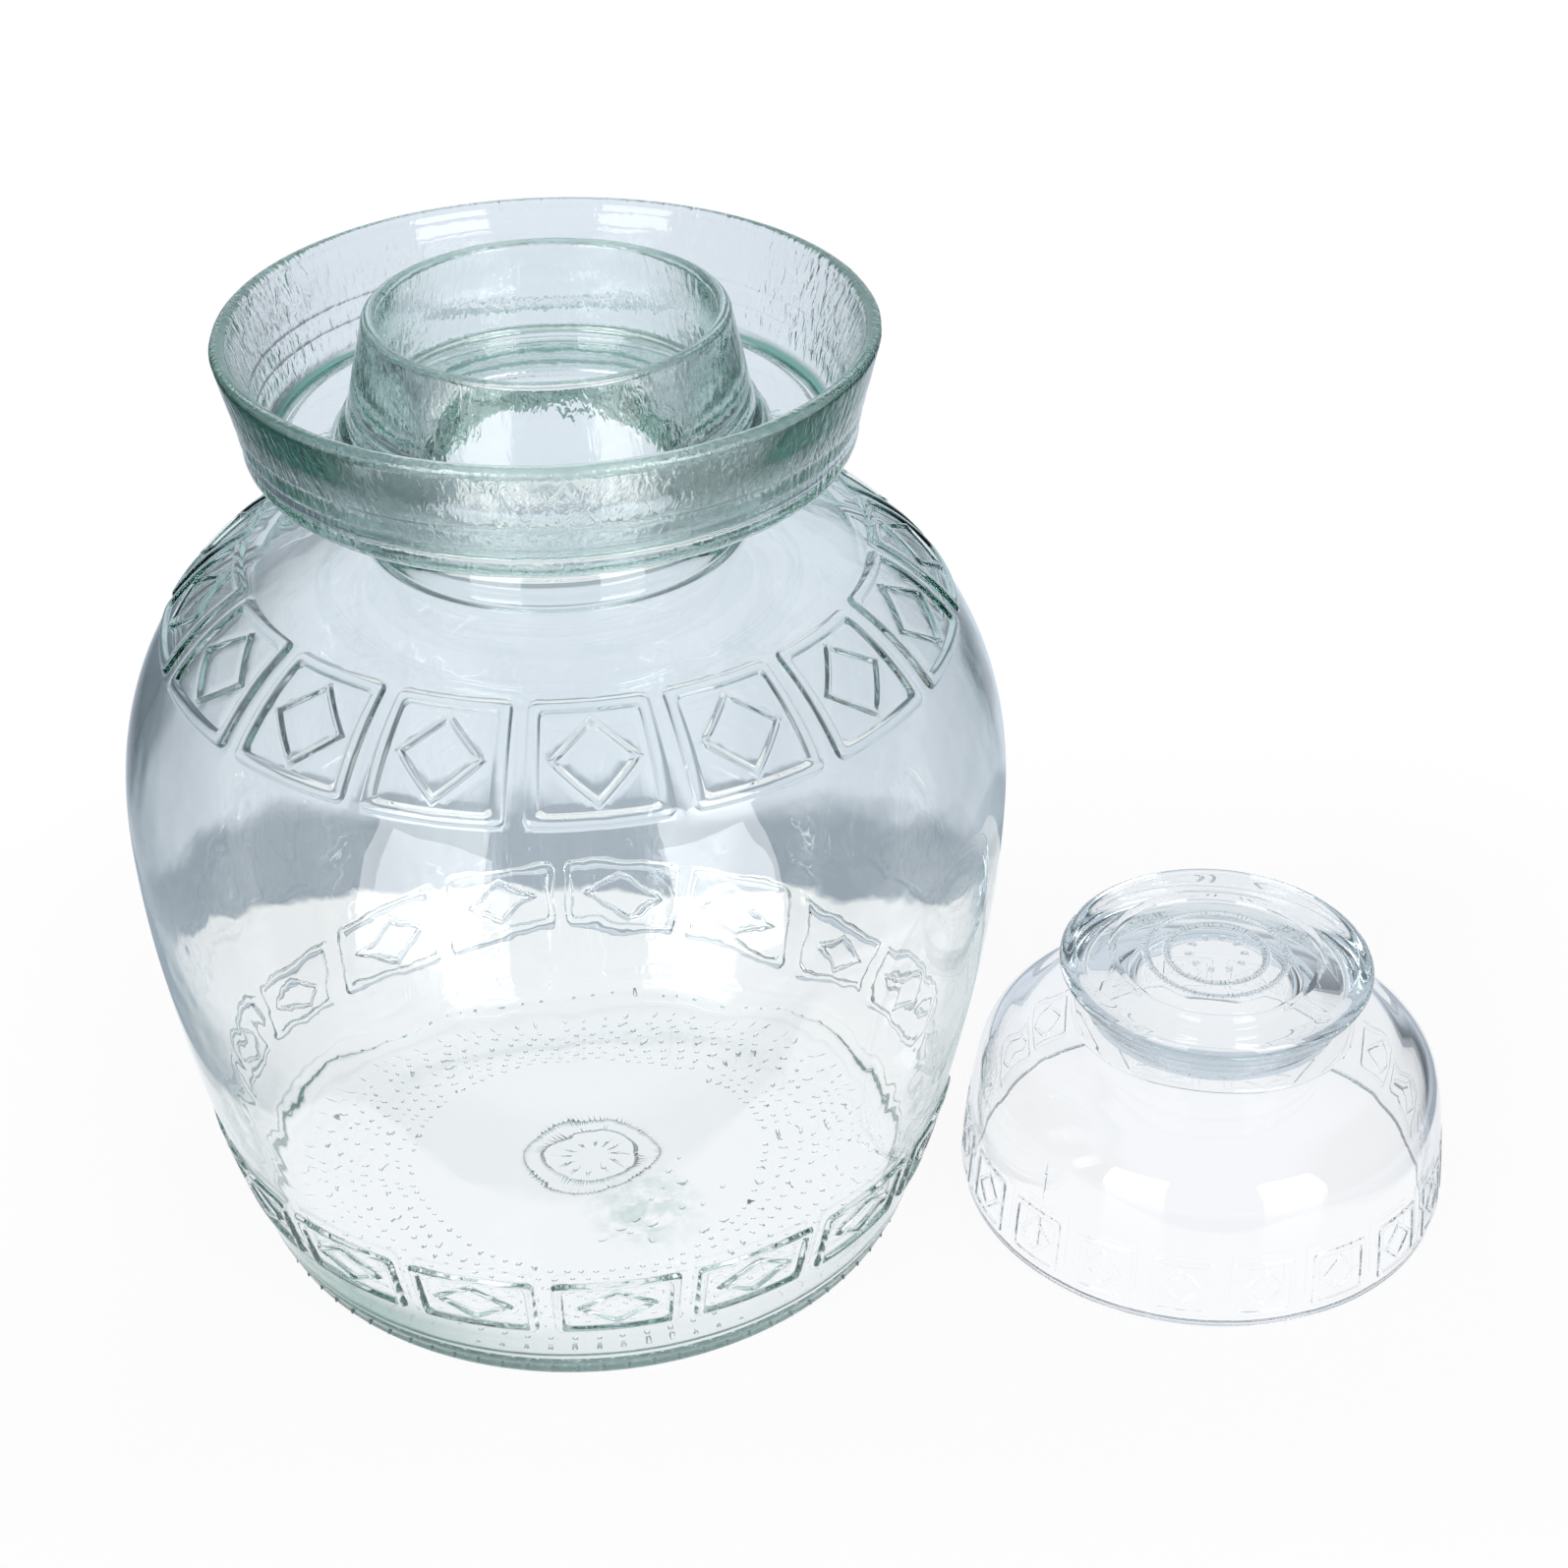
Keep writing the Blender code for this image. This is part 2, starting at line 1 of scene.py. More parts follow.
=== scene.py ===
"""Looks of a water-seal pickling jar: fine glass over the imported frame, with a studio and a camera.

Lengths are metres, unless a name ends in _mm or _deg, and +Z is up. Each piece of glass is a closed
surface: turned stretches and bands of panels that share their rings, with small relief joined on.
"""

import logging
import math
import random
from collections.abc import Callable, Sequence
from dataclasses import dataclass, replace
from enum import Enum
from functools import cache

import bmesh
import bpy
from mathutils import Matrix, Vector
from mathutils.geometry import delaunay_2d_cdt

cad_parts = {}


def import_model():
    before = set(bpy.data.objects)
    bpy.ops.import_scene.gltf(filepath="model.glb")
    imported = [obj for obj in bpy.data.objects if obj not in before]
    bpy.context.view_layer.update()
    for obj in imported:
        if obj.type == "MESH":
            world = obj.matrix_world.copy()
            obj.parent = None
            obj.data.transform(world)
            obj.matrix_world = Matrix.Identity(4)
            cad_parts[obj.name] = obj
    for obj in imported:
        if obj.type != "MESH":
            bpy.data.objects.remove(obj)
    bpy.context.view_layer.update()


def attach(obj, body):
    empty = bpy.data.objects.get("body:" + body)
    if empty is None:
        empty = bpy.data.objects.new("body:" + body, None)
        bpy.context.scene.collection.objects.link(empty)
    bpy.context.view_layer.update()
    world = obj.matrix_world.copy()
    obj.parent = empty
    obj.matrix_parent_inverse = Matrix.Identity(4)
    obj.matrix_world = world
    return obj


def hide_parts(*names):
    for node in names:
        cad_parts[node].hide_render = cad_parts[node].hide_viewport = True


LOG = logging.getLogger("pickling_jar")
WELD = 0.00001
TURN = math.tau
WHITE = "#ffffff"

Point = tuple[float, float]
Place = tuple[float, float, float]
Outline = list[Point]
Radius = Callable[[float], float]
Node = bpy.types.Node
Socket = bpy.types.NodeSocket
Mesh = bpy.types.Mesh
ORIGIN: Place = (0.0, 0.0, 0.0)


def linear(colour: str) -> tuple[float, float, float, float]:
    """Turns an sRGB hex colour to linear light.

    Args:
        colour: The colour as "#rrggbb".

    Returns:
        Linear red, green and blue, and an alpha of one.
    """
    channels = [int(colour[k:k + 2], 16) / 255 for k in (1, 3, 5)]
    light = [c / 12.92 if c <= 0.04045 else ((c + 0.055) / 1.055) ** 2.4 for c in channels]
    return (*light, 1.0)


def arc(centre: Point, radius: float, start_deg: float, end_deg: float, facets: int = 8) -> Outline:
    """Points of an arc in the plane of radius and height.

    Args:
        centre: Centre of the arc.
        radius: Radius of the arc.
        start_deg: Angle of the first point.
        end_deg: Angle of the last point.
        facets: Chords in the arc.

    Returns:
        The points, both ends included.
    """
    angles = [math.radians(start_deg + (end_deg - start_deg) * k / facets) for k in range(facets + 1)]
    return [(centre[0] + radius * math.cos(a), centre[1] + radius * math.sin(a)) for a in angles]


def spread(low: float, high: float, count: int) -> list[float]:
    """Evenly spaced values from low to high, both ends included."""
    return [low + (high - low) * k / count for k in range(count + 1)]


def filled(outline: Outline, step: float) -> Outline:
    """Cuts the long spans of an outline into shorter chords.

    Args:
        outline: The outline.
        step: About how long a chord is.

    Returns:
        The outline with more points.
    """
    points = [outline[0]]
    for (r0, z0), (r1, z1) in zip(outline, outline[1:]):
        cuts = max(1, round(math.hypot(r1 - r0, z1 - z0) / step))
        points += [(r0 + (r1 - r0) * k / cuts, z0 + (z1 - z0) * k / cuts) for k in range(1, cuts + 1)]
    return points


def smooth(points: Sequence[Point], facets: int) -> Outline:
    """A smooth curve through points.

    Args:
        points: The points.
        facets: Chords in each span.

    Returns:
        The curve, both ends included.
    """
    ends = [points[0], *points, points[-1]]
    curve = []
    for corners in zip(ends, ends[1:], ends[2:], ends[3:]):
        for step in range(facets):
            t = step / facets
            weights = (
                (-t + 2 * t**2 - t**3) / 2,
                (2 - 5 * t**2 + 3 * t**3) / 2,
                (t + 4 * t**2 - 3 * t**3) / 2,
                (t**3 - t**2) / 2,
            )
            curve.append(tuple(sum(w * p[axis] for w, p in zip(weights, corners)) for axis in (0, 1)))
    curve.append(points[-1])
    return curve


@dataclass(frozen=True)
class Ramp:
    """A share that goes from least to most while a measure goes from start to end."""

    start: float
    end: float
    least: float = 0.0
    most: float = 1.0
    smooth: bool = True


class Measure(Enum):
    """What a ramp can go by at a place on an object, where one letter means that coordinate."""

    FACING = "how far the surface turns from the eye"
    ACROSS = "X"
    HEIGHT = "Z"
    RADIUS = "distance from the jar's axis"
    CONE = "distance from the jar's axis, less a cone's radius at that height"
    DISTANCE = "distance from a place"
    CLOUD = "fine uneven cloud"


class Graph:
    """The nodes of one material, world or geometry tree."""

    # How large the clouds are that CLOUD gives.
    cloud_mm: float = 4.167

    def __init__(self, tree: bpy.types.NodeTree) -> None:
        """Takes a tree and clears it."""
        self.tree = tree
        tree.nodes.clear()

    def add(self, kind: str, inputs: dict | None = None, **settings: object) -> Node:
        """Adds one node with its settings, and sets or links its inputs.

        Args:
            kind: The node's type.
            inputs: A value, a socket, or a node for its first output, for each input by name or number.
            **settings: Properties of the node itself.

        Returns:
            The node.
        """
        node = self.tree.nodes.new(kind)
        for name, setting in settings.items():
            setattr(node, name, setting)
        for key, value in (inputs or {}).items():
            if isinstance(value, Node):
                value = next(output for output in value.outputs if output.enabled)
            if isinstance(value, Socket):
                self.tree.links.new(value, node.inputs[key])
            else:
                node.inputs[key].default_value = value
        return node

    def share(self, *steps: tuple[Node | Socket, Ramp]) -> Node:
        """Adds a share that is the product of some ramps.

        Args:
            *steps: A measure for each ramp, and the ramp.

        Returns:
            The node that holds the product.
        """
        product = None
        for value, ramp in steps:
            factor = self.add("ShaderNodeMapRange", {
                "Value": value, "From Min": ramp.start, "From Max": ramp.end,
                "To Min": ramp.least, "To Max": ramp.most,
            }, interpolation_type="SMOOTHSTEP" if ramp.smooth else "LINEAR")
            if product:
                factor = self.add("ShaderNodeMath", {0: product, 1: factor}, operation="MULTIPLY")
            product = factor
        return product

    def measure(self, by: Measure, slope: float = 0.0, middle: Place = ORIGIN) -> Node | Socket:
        """Adds a measure that ramps can go by.

        Args:
            by: What is measured.
            slope: How much a cone widens for each metre up.
            middle: The place that distance is taken from.

        Returns:
            The node or the socket that holds the measure.
        """
        if by is Measure.FACING:
            return self.add("ShaderNodeLayerWeight", {"Blend": 0.5}).outputs["Facing"]
        place = self.add("ShaderNodeTexCoord").outputs["Object"]
        if by is Measure.DISTANCE:
            return self.add("ShaderNodeVectorMath", {0: place, 1: middle}, operation="DISTANCE")
        if by is Measure.CLOUD:
            return self.add("ShaderNodeTexNoise", {
                "Vector": place, "Scale": 1000 / self.cloud_mm, "Detail": 2.0,
            })
        spot = self.add("ShaderNodeSeparateXYZ", {0: place}).outputs
        if by in (Measure.ACROSS, Measure.HEIGHT):
            return spot[by.value]
        flat = self.add("ShaderNodeCombineXYZ", {"X": spot["X"], "Y": spot["Y"]})
        radius = self.add("ShaderNodeVectorMath", {0: flat}, operation="LENGTH")
        if by is Measure.RADIUS:
            return radius
        return self.add("ShaderNodeMath", {0: spot["Z"], 1: -slope, 2: radius}, operation="MULTIPLY_ADD")


@dataclass(frozen=True)
class Tint:
    """A colour laid on the glass where all the ramps are high. Most are the colour that light takes where it
    goes a long way in the glass; some are painted shade where the glass is seen edge-on, and one is a
    painted reflection.
    """

    colour: str
    ramps: dict[Measure, Ramp]
    slope: float = 0.0
    middle: Place = ORIGIN

    def over(self, graph: Graph, under: Node | tuple) -> Node:
        """Adds the tint over another colour.

        Args:
            graph: The material's nodes.
            under: The other colour.

        Returns:
            The node that holds the mixed colour.
        """
        steps = [(graph.measure(by, self.slope, self.middle), ramp) for by, ramp in self.ramps.items()]
        return graph.add("ShaderNodeMix", {
            "Factor": graph.share(*steps), "A": under, "B": linear(self.colour),
        }, data_type="RGBA")


class Skin(Enum):
    """How the surface of a glass was made, which sets its bump."""

    FIRE_POLISHED = "fire polished"
    BLOWN = "blown"
    CHILL_MARKED = "chill marked"


@dataclass(frozen=True)
class Glass:
    """A soda-lime glass: clear all through, tinted where light goes a long way in it, and with the painted
    shade and painted reflection that its tints hold.

    The lengths in millimetres are those of its waves, of its chill marks and of the patches they lie in.
    """

    name: str
    skin: Skin
    through: str
    density: float
    tints: tuple[Tint, ...]
    roughness: float = 0.0
    ior: float = 1.52
    breath_mm: float = 22.22
    crease_mm: float = 2.083
    patch_mm: float = 29.41
    relief: float = 0.0006

    def material(self) -> bpy.types.Material:
        """Builds the material.

        Returns:
            A transmitting Principled material with a plain absorption inside.
        """
        material = bpy.data.materials.new(self.name)
        material.use_nodes = True
        graph = Graph(material.node_tree)
        colour = linear(WHITE)
        for tint in self.tints:
            colour = tint.over(graph, colour)
        surface = {
            "Base Color": colour, "Roughness": self.roughness, "IOR": self.ior, "Transmission Weight": 1.0,
        }
        if self.skin is not Skin.FIRE_POLISHED:
            surface["Normal"] = self.bump(graph)
        graph.add("ShaderNodeOutputMaterial", {
            "Surface": graph.add("ShaderNodeBsdfPrincipled", surface),
            "Volume": graph.add("ShaderNodeVolumeAbsorption", {
                "Color": linear(self.through), "Density": self.density,
            }),
        })
        return material

    def bump(self, graph: Graph) -> Node:
        """Adds the fine relief of the surface.

        Args:
            graph: The material's nodes.

        Returns:
            The bump node.
        """
        place = graph.add("ShaderNodeTexCoord").outputs["Object"]
        if self.skin is Skin.BLOWN:
            # Shallow waves, left by the breath and the turning of the gather.
            waves = graph.add("ShaderNodeTexNoise", {
                "Vector": place, "Scale": 1000 / self.breath_mm, "Detail": 2.5, "Roughness": 0.5,
            })
            return graph.add("ShaderNodeBump", {"Height": waves, "Strength": 0.25, "Distance": self.relief})
        # Chill marks: hard little creases a millimetre wide and some five long, drawn out up the wall.
        creases = graph.add("ShaderNodeMapping", {"Vector": place, "Scale": (1.0, 1.0, 0.4)})
        marks = graph.add("ShaderNodeTexNoise", {
            "Vector": creases, "Scale": 1000 / self.crease_mm, "Detail": 2.0, "Distortion": 0.6,
        })
        # The chilled mould shaped the outside: they fade inwards, and are strong where it was coldest.
        radius = graph.measure(Measure.RADIUS)
        wall = graph.share((graph.measure(Measure.HEIGHT), CHILLED_WALL))
        depth = graph.add("ShaderNodeMath", {0: wall, 1: radius}, operation="SUBTRACT")
        cold = graph.add("ShaderNodeTexNoise", {
            "Vector": place, "Scale": 1000 / self.patch_mm, "Detail": 1.0,
        })
        outside = graph.share((depth, OUTER_MARKS), (cold, COLD_PATCHES))
        collar = graph.share((radius, COLLAR_MARKS))
        share = graph.add("ShaderNodeMath", {0: outside, 1: collar}, operation="MAXIMUM")
        return graph.add("ShaderNodeBump", {"Height": marks, "Strength": share, "Distance": self.relief})


# The radius of the outside of the basin's wall, from its foot up to its rim.
CHILLED_WALL = Ramp(0.2295, 0.2532, 0.0740, 0.0792, smooth=False)
# How strong the marks are by their depth in that wall, by how cold the mould was, and on the collar.
OUTER_MARKS = Ramp(0.0012, 0.0025, 0.95, 0.10, smooth=False)
COLD_PATCHES = Ramp(0.40, 0.62, 0.35, 1.0, smooth=False)
COLLAR_MARKS = Ramp(0.048, 0.053, 0.22, 0.0, smooth=False)

# Pale blown glass: nearly clear walls and green in the thick heel, more so towards -X, with painted
# blue-grey shade where the walls are seen edge-on and a painted teal reflection round the mark of the
# shears.
VESSEL_GLASS = Glass("blown soda-lime glass", Skin.BLOWN, "#cfe4e0", 20.0, (
    # Painted shade: blue-grey where the walls are seen edge-on.
    Tint("#a9bcc0", {Measure.FACING: Ramp(0.6, 1.0)}),
    Tint("#5b8a7f", {
        Measure.HEIGHT: Ramp(0.030, 0.016),
        Measure.CONE: Ramp(0.0855, 0.0875),
        Measure.ACROSS: Ramp(-0.060, 0.010, 1.0, 0.25),
        Measure.FACING: Ramp(0.13, 0.30),
    }, slope=0.306),
    # Painted reflection: a cloudy teal patch on the base round the mark of the shears.
    Tint("#86b5a7", {
        Measure.DISTANCE: Ramp(0.018, 0.004, 0.0, 0.55, smooth=False),
        Measure.CLOUD: Ramp(0.42, 0.60, smooth=False),
    }, middle=(0.0165, -0.0265, 0.0030)),
))
# Greener pressed glass, chilled by its mould, so its outside is creased and its polish is less sharp.
BASIN_GLASS = Glass("chill-marked green glass", Skin.CHILL_MARKED, "#86cfbf", 8.5, (
    # Deep green where the upper outer wall is seen edge-on, darker towards the rim: partly the green of long
    # paths through the glass, partly painted shade.
    Tint("#19503f", {
        Measure.FACING: Ramp(0.19, 0.50),
        Measure.HEIGHT: Ramp(0.233, 0.245, smooth=False),
        Measure.CONE: Ramp(0.0226, 0.0234, 0.12, 1.0, smooth=False),
    }, slope=0.2194),
    Tint("#3f8271", {
        Measure.HEIGHT: Ramp(0.2304, 0.2282),
        Measure.CONE: Ramp(0.5195, 0.5215),
        Measure.RADIUS: Ramp(0.0702, 0.0692, smooth=False),
        Measure.FACING: Ramp(0.13, 0.30),
    }, slope=-2.0),
), roughness=0.045)
# Clear colourless glass, pressed and then fire polished.
LID_GLASS = Glass("clear pressed glass", Skin.FIRE_POLISHED, "#e6ecee", 24.0, (
    # Painted shade: blue-grey where the lid is seen edge-on.
    Tint("#b8c2cc", {Measure.FACING: Ramp(0.6, 1.0)}),
))


class MeshTree(Graph):
    """A Geometry Nodes tree that is built once and used for several meshes."""

    def __init__(self, name: str, sockets: dict[str, str]) -> None:
        """Makes the empty tree.

        Args:
            name: Name of the tree.
            sockets: The kind of each input between the geometry and the glass, by the input's name.
        """
        super().__init__(bpy.data.node_groups.new(name, "GeometryNodeTree"))
        face = self.tree.interface
        for label, kind in {"Geometry": "Geometry", **sockets, "Material": "Material"}.items():
            face.new_socket(name=label, in_out="INPUT", socket_type=f"NodeSocket{kind}")
        face.new_socket(name="Geometry", in_out="OUTPUT", socket_type="NodeSocketGeometry")
        self.given = self.add("NodeGroupInput").outputs

    def output(self, geometry: Node) -> None:
        """Ends the tree with real geometry, smooth shading and the glass.

        Args:
            geometry: The node that gives the geometry.
        """
        for kind in ("RealizeInstances", "SetShadeSmooth", "SetMaterial"):
            geometry = self.add(f"GeometryNode{kind}", {"Geometry": geometry})
        self.tree.links.new(self.given["Material"], geometry.inputs["Material"])
        self.add("NodeGroupOutput", {0: geometry})

    def mesh(self, source: Mesh, values: dict[str, object]) -> Mesh:
        """Runs the tree on a mesh.

        Args:
            source: The mesh that goes in.
            values: A value for each input, by the input's name.

        Returns:
            The plain mesh that comes out.
        """
        carrier = bpy.data.objects.new(source.name, source)
        bpy.context.scene.collection.objects.link(carrier)
        modifier = carrier.modifiers.new(self.tree.name, "NODES")
        modifier.node_group = self.tree
        for item in self.tree.interface.items_tree:
            if item.in_out == "INPUT" and item.name in values:
                modifier[item.identifier] = values[item.name]
        graph = bpy.context.evaluated_depsgraph_get()
        result = bpy.data.meshes.new_from_object(carrier.evaluated_get(graph))
        bpy.data.objects.remove(carrier)
        return result


@cache
def turning_tree() -> MeshTree:
    """A tree that turns an outline round an axis.

    The outline's points hold their radius in X, how far round they start in Y, and their height in Z.
    The attribute "wave" says how much each point takes part in the unevenness of the wall.

    Returns:
        The tree, with inputs Points, Sides, Centre, Wave Depth, Wave Scale, Seed and Material.
    """
    tree = MeshTree("Turn outline", {
        "Points": "Int", "Sides": "Int", "Centre": "Vector", "Wave Depth": "Float", "Wave Scale": "Float",
        "Seed": "Float",
    })
    add, given = tree.add, tree.given
    grid = add("GeometryNodeMeshGrid", {
        "Size X": 1.0, "Size Y": 1.0,
        "Vertices X": add("ShaderNodeMath", {0: given["Sides"], 1: 1.0}, operation="ADD"),
        "Vertices Y": given["Points"],
    })
    position = add("GeometryNodeInputPosition")
    place = add("ShaderNodeSeparateXYZ", {0: position}).outputs
    last = add("ShaderNodeMath", {0: given["Points"], 1: 1.0}, operation="SUBTRACT")
    along = place["Y"]
    for operation, value in (("ADD", 0.5), ("MULTIPLY", last), ("ROUND", 0.0)):
        along = add("ShaderNodeMath", {0: along, 1: value}, operation=operation)
    mark = add("GeometryNodeInputNamedAttribute", {"Name": "wave"}, data_type="FLOAT")
    point, wave = (
        add("GeometryNodeSampleIndex", {
            "Geometry": given["Geometry"], "Index": along, "Value": value,
        }, data_type=kind)
        for value, kind in ((position, "FLOAT_VECTOR"), (mark, "FLOAT"))
    )
    outline = add("ShaderNodeSeparateXYZ", {0: point}).outputs
    angle = place["X"]
    for operation, value in (("ADD", 0.5), ("MULTIPLY", TURN), ("ADD", outline["Y"])):
        angle = add("ShaderNodeMath", {0: angle, 1: value}, operation=operation)
    direction = add("ShaderNodeCombineXYZ", {
        "X": add("ShaderNodeMath", {0: angle}, operation="COSINE"),
        "Y": add("ShaderNodeMath", {0: angle}, operation="SINE"),
    })
    ring = add("ShaderNodeVectorMath", {0: direction, "Scale": outline["X"]}, operation="SCALE")
    level = add("ShaderNodeCombineXYZ", {"Z": outline["Z"]})
    surface = add("ShaderNodeVectorMath", {0: ring, 1: level}, operation="ADD")
    # Waves die out within 20 mm of the axis, where the rings are too small for them.
    share = outline["X"]
    for operation, value in (("MULTIPLY", 50.0), ("MINIMUM", 1.0), ("MULTIPLY", wave)):
        share = add("ShaderNodeMath", {0: share, 1: value}, operation=operation)
    swell = add("ShaderNodeTexNoise", {
        "Vector": surface, "W": given["Seed"], "Scale": given["Wave Scale"], "Detail": 2.0,
    }, noise_dimensions="4D")
    for operation, value in (("SUBTRACT", 0.5), ("MULTIPLY", given["Wave Depth"]), ("MULTIPLY", share)):
        swell = add("ShaderNodeMath", {0: swell, 1: value}, operation=operation)
    push = add("ShaderNodeVectorMath", {0: direction, "Scale": swell}, operation="SCALE")
    for shift in (push, given["Centre"]):
        surface = add("ShaderNodeVectorMath", {0: surface, 1: shift}, operation="ADD")
    turned = add("GeometryNodeSetPosition", {"Geometry": grid, "Position": surface})
    tree.output(add("GeometryNodeMergeByDistance", {"Geometry": turned, "Distance": WELD / 10}))
    return tree


@cache
def repeating_tree() -> MeshTree:
    """A tree that repeats a mesh round an axis.

    Returns:
        The tree, with inputs Count, Phase, Centre and Material.
    """
    tree = MeshTree("Repeat round axis", {"Count": "Int", "Phase": "Float", "Centre": "Vector"})
    add, given = tree.add, tree.given
    points = add("GeometryNodePoints", {"Count": given["Count"], "Position": given["Centre"]})
    pitch = add("ShaderNodeMath", {0: TURN, 1: given["Count"]}, operation="DIVIDE")
    angle = add("GeometryNodeInputIndex")
    for operation, value in (("MULTIPLY", pitch), ("ADD", given["Phase"])):
        angle = add("ShaderNodeMath", {0: angle, 1: value}, operation=operation)
    turn = add("ShaderNodeCombineXYZ", {"Z": angle})
    tree.output(add("GeometryNodeInstanceOnPoints", {
        "Points": points, "Instance": given["Geometry"], "Rotation": turn,
    }))
    return tree


@dataclass(frozen=True)
class PanelBand:
    """A band of raised square frames round a piece of glass, each with a raised diamond inside."""

    panels: int
    low: float
    rise: float
    gap: float
    bar: float
    diamond_width: float
    diamond_height: float
    middle_deg: float
    columns: int
    rows: int
    corner: float = 0.0024
    relief: float = 0.0010
    edge: float = 0.0013
    diamond_bar: float = 0.0022
    grain: float = 0.0024
    # How a raised bar's side rounds over, as shares of the edge and of the relief.
    swell: tuple[Point, ...] = ((0.0, 0.0), (0.22, 0.18), (0.55, 0.72), (1.0, 1.0))
    steps: int = 64

    @property
    def high(self) -> float:
        """Height of the band's upper edge."""
        return self.low + self.rise

    @property
    def sides(self) -> int:
        """How many sides the rings next to the band have."""
        return self.panels * self.columns

    @property
    def start(self) -> float:
        """Angle from +X to the first panel's near edge, in radians."""
        return math.radians(self.middle_deg) - math.pi / self.panels

    def frame_loop(self, width: float, height: float, inset: float) -> Outline:
        """A rectangle with rounded corners in the middle of the cell.

        Args:
            width: Width of the cell.
            height: Height of the cell.
            inset: How far the loop lies inside the frame's outer edge.

        Returns:
            The loop's corners.
        """
        half_x = width / 2 - self.gap / 2 - inset
        half_y = height / 2 - self.edge / 2 - inset
        radius = max(self.corner - inset, self.edge)
        loop: Outline = []
        for x, y, start in ((1, 1, 0), (-1, 1, 90), (-1, -1, 180), (1, -1, 270)):
            centre = (width / 2 + x * (half_x - radius), height / 2 + y * (half_y - radius))
            loop += arc(centre, radius, start, start + 90, 3)
        return loop

    def diamond_loop(self, width: float, height: float, grow: float) -> Outline:
        """A diamond in the middle of the cell.

        Args:
            width: Width of the cell.
            height: Height of the cell.
            grow: How far the diamond's sides are moved out.

        Returns:
            The loop's corners.
        """
        half_x, half_y = self.diamond_width / 2, self.diamond_height / 2
        scale = 1.0 + grow * math.hypot(half_x, half_y) / (half_x * half_y)
        return [
            (width / 2 + x * half_x * scale, height / 2 + y * half_y * scale)
            for x, y in ((-1, 0), (0, -1), (1, 0), (0, 1))
        ]

    def in_field(self, width: float, height: float, x: float, y: float) -> bool:
        """Tells whether a place is on the flat field, clear of the frame and of the diamond.

        Args:
            width: Width of the cell.
            height: Height of the cell.
            x: How far across the place is.
            y: How far up the place is.

        Returns:
            True on the field.
        """
        across, up = abs(x - width / 2), abs(y - height / 2)
        if across > width / 2 - self.gap / 2 - self.bar - self.edge:
            return False
        if up > height / 2 - self.edge / 2 - self.bar - self.edge:
            return False
        half_x, half_y = self.diamond_width / 2, self.diamond_height / 2
        slope = half_x * half_y / math.hypot(half_x, half_y)
        off = (across / half_x + up / half_y - 1.0) * slope
        return abs(off) > self.diamond_bar / 2 + self.edge

    def cell(self, width: float, height: float) -> tuple[list[Place], list]:
        """One panel laid flat.

        Args:
            width: Width of the cell, along the glass.
            height: Height of the cell, along the glass.

        Returns:
            Points as (across, up, lift), and the triangles between them.
        """
        across, up = spread(0.0, width, self.columns), spread(0.0, height, self.rows)
        border = [(x, 0.0) for x in across[:-1]] + [(width, y) for y in up[:-1]]
        border += [(x, height) for x in across[:0:-1]] + [(0.0, y) for y in up[:0:-1]]
        loops = [(border, 0.0)]
        for share, lift in self.swell:
            reach = self.diamond_bar / 2 - self.edge * share
            insets = (self.edge * share, self.bar - self.edge * share)
            rings = [self.frame_loop(width, height, inset) for inset in insets]
            rings += [self.diamond_loop(width, height, grow) for grow in (reach, -reach)]
            loops += [(filled(ring + ring[:1], self.grain)[:-1], self.relief * lift) for ring in rings]
        points: list[Place] = []
        edges: list[tuple[int, int]] = []
        for loop, lift in loops:
            first, total = len(points), len(loop)
            points += [(x, y, lift) for x, y in loop]
            edges += [(first + k, first + (k + 1) % total) for k in range(total)]
        points += [(x, y, 0.0) for x in across for y in up if self.in_field(width, height, x, y)]
        flat = [Vector((x, y)) for x, y, _ in points]
        made, _, faces, sources, _, _ = delaunay_2d_cdt(flat, edges, [], 0, WELD / 100)
        lifts = [points[source[0]][2] if source else 0.0 for source in sources]
        return [(p[0], p[1], lift) for p, lift in zip(made, lifts)], faces

    def mesh(self, radius_at: Radius) -> Mesh:
        """Wraps one panel on the glass.

        Args:
            radius_at: Radius of the plain glass at a height.

        Returns:
            The mesh of the first panel, round the axis at the origin.
        """
        heights = spread(self.low, self.high, self.steps)
        radii = [radius_at(z) for z in heights]
        lengths = [0.0]
        for k in range(1, len(heights)):
            lengths.append(lengths[-1] + math.hypot(heights[k] - heights[k - 1], radii[k] - radii[k - 1]))
        pitch = TURN / self.panels
        width = pitch * sum(radii) / len(radii)
        points, faces = self.cell(width, lengths[-1])
        step = self.rise / self.steps
        corners = []
        for x, y, lift in points:
            k = next((k for k in range(1, len(lengths)) if y <= lengths[k]), len(lengths) - 1)
            share = min((y - lengths[k - 1]) / (lengths[k] - lengths[k - 1]), 1.0)
            height = heights[k - 1] + (heights[k] - heights[k - 1]) * share
            slope = (radius_at(height + step) - radius_at(height - step)) / (2 * step)
            length = math.hypot(1.0, slope)
            radius = radius_at(height) + lift / length
            angle = self.start + pitch * x / width
            level = height - lift * slope / length
            corners.append((radius * math.cos(angle), radius * math.sin(angle), level))
        mesh = bpy.data.meshes.new("panel")
        mesh.from_pydata(corners, [], [tuple(face) for face in faces])
        return mesh


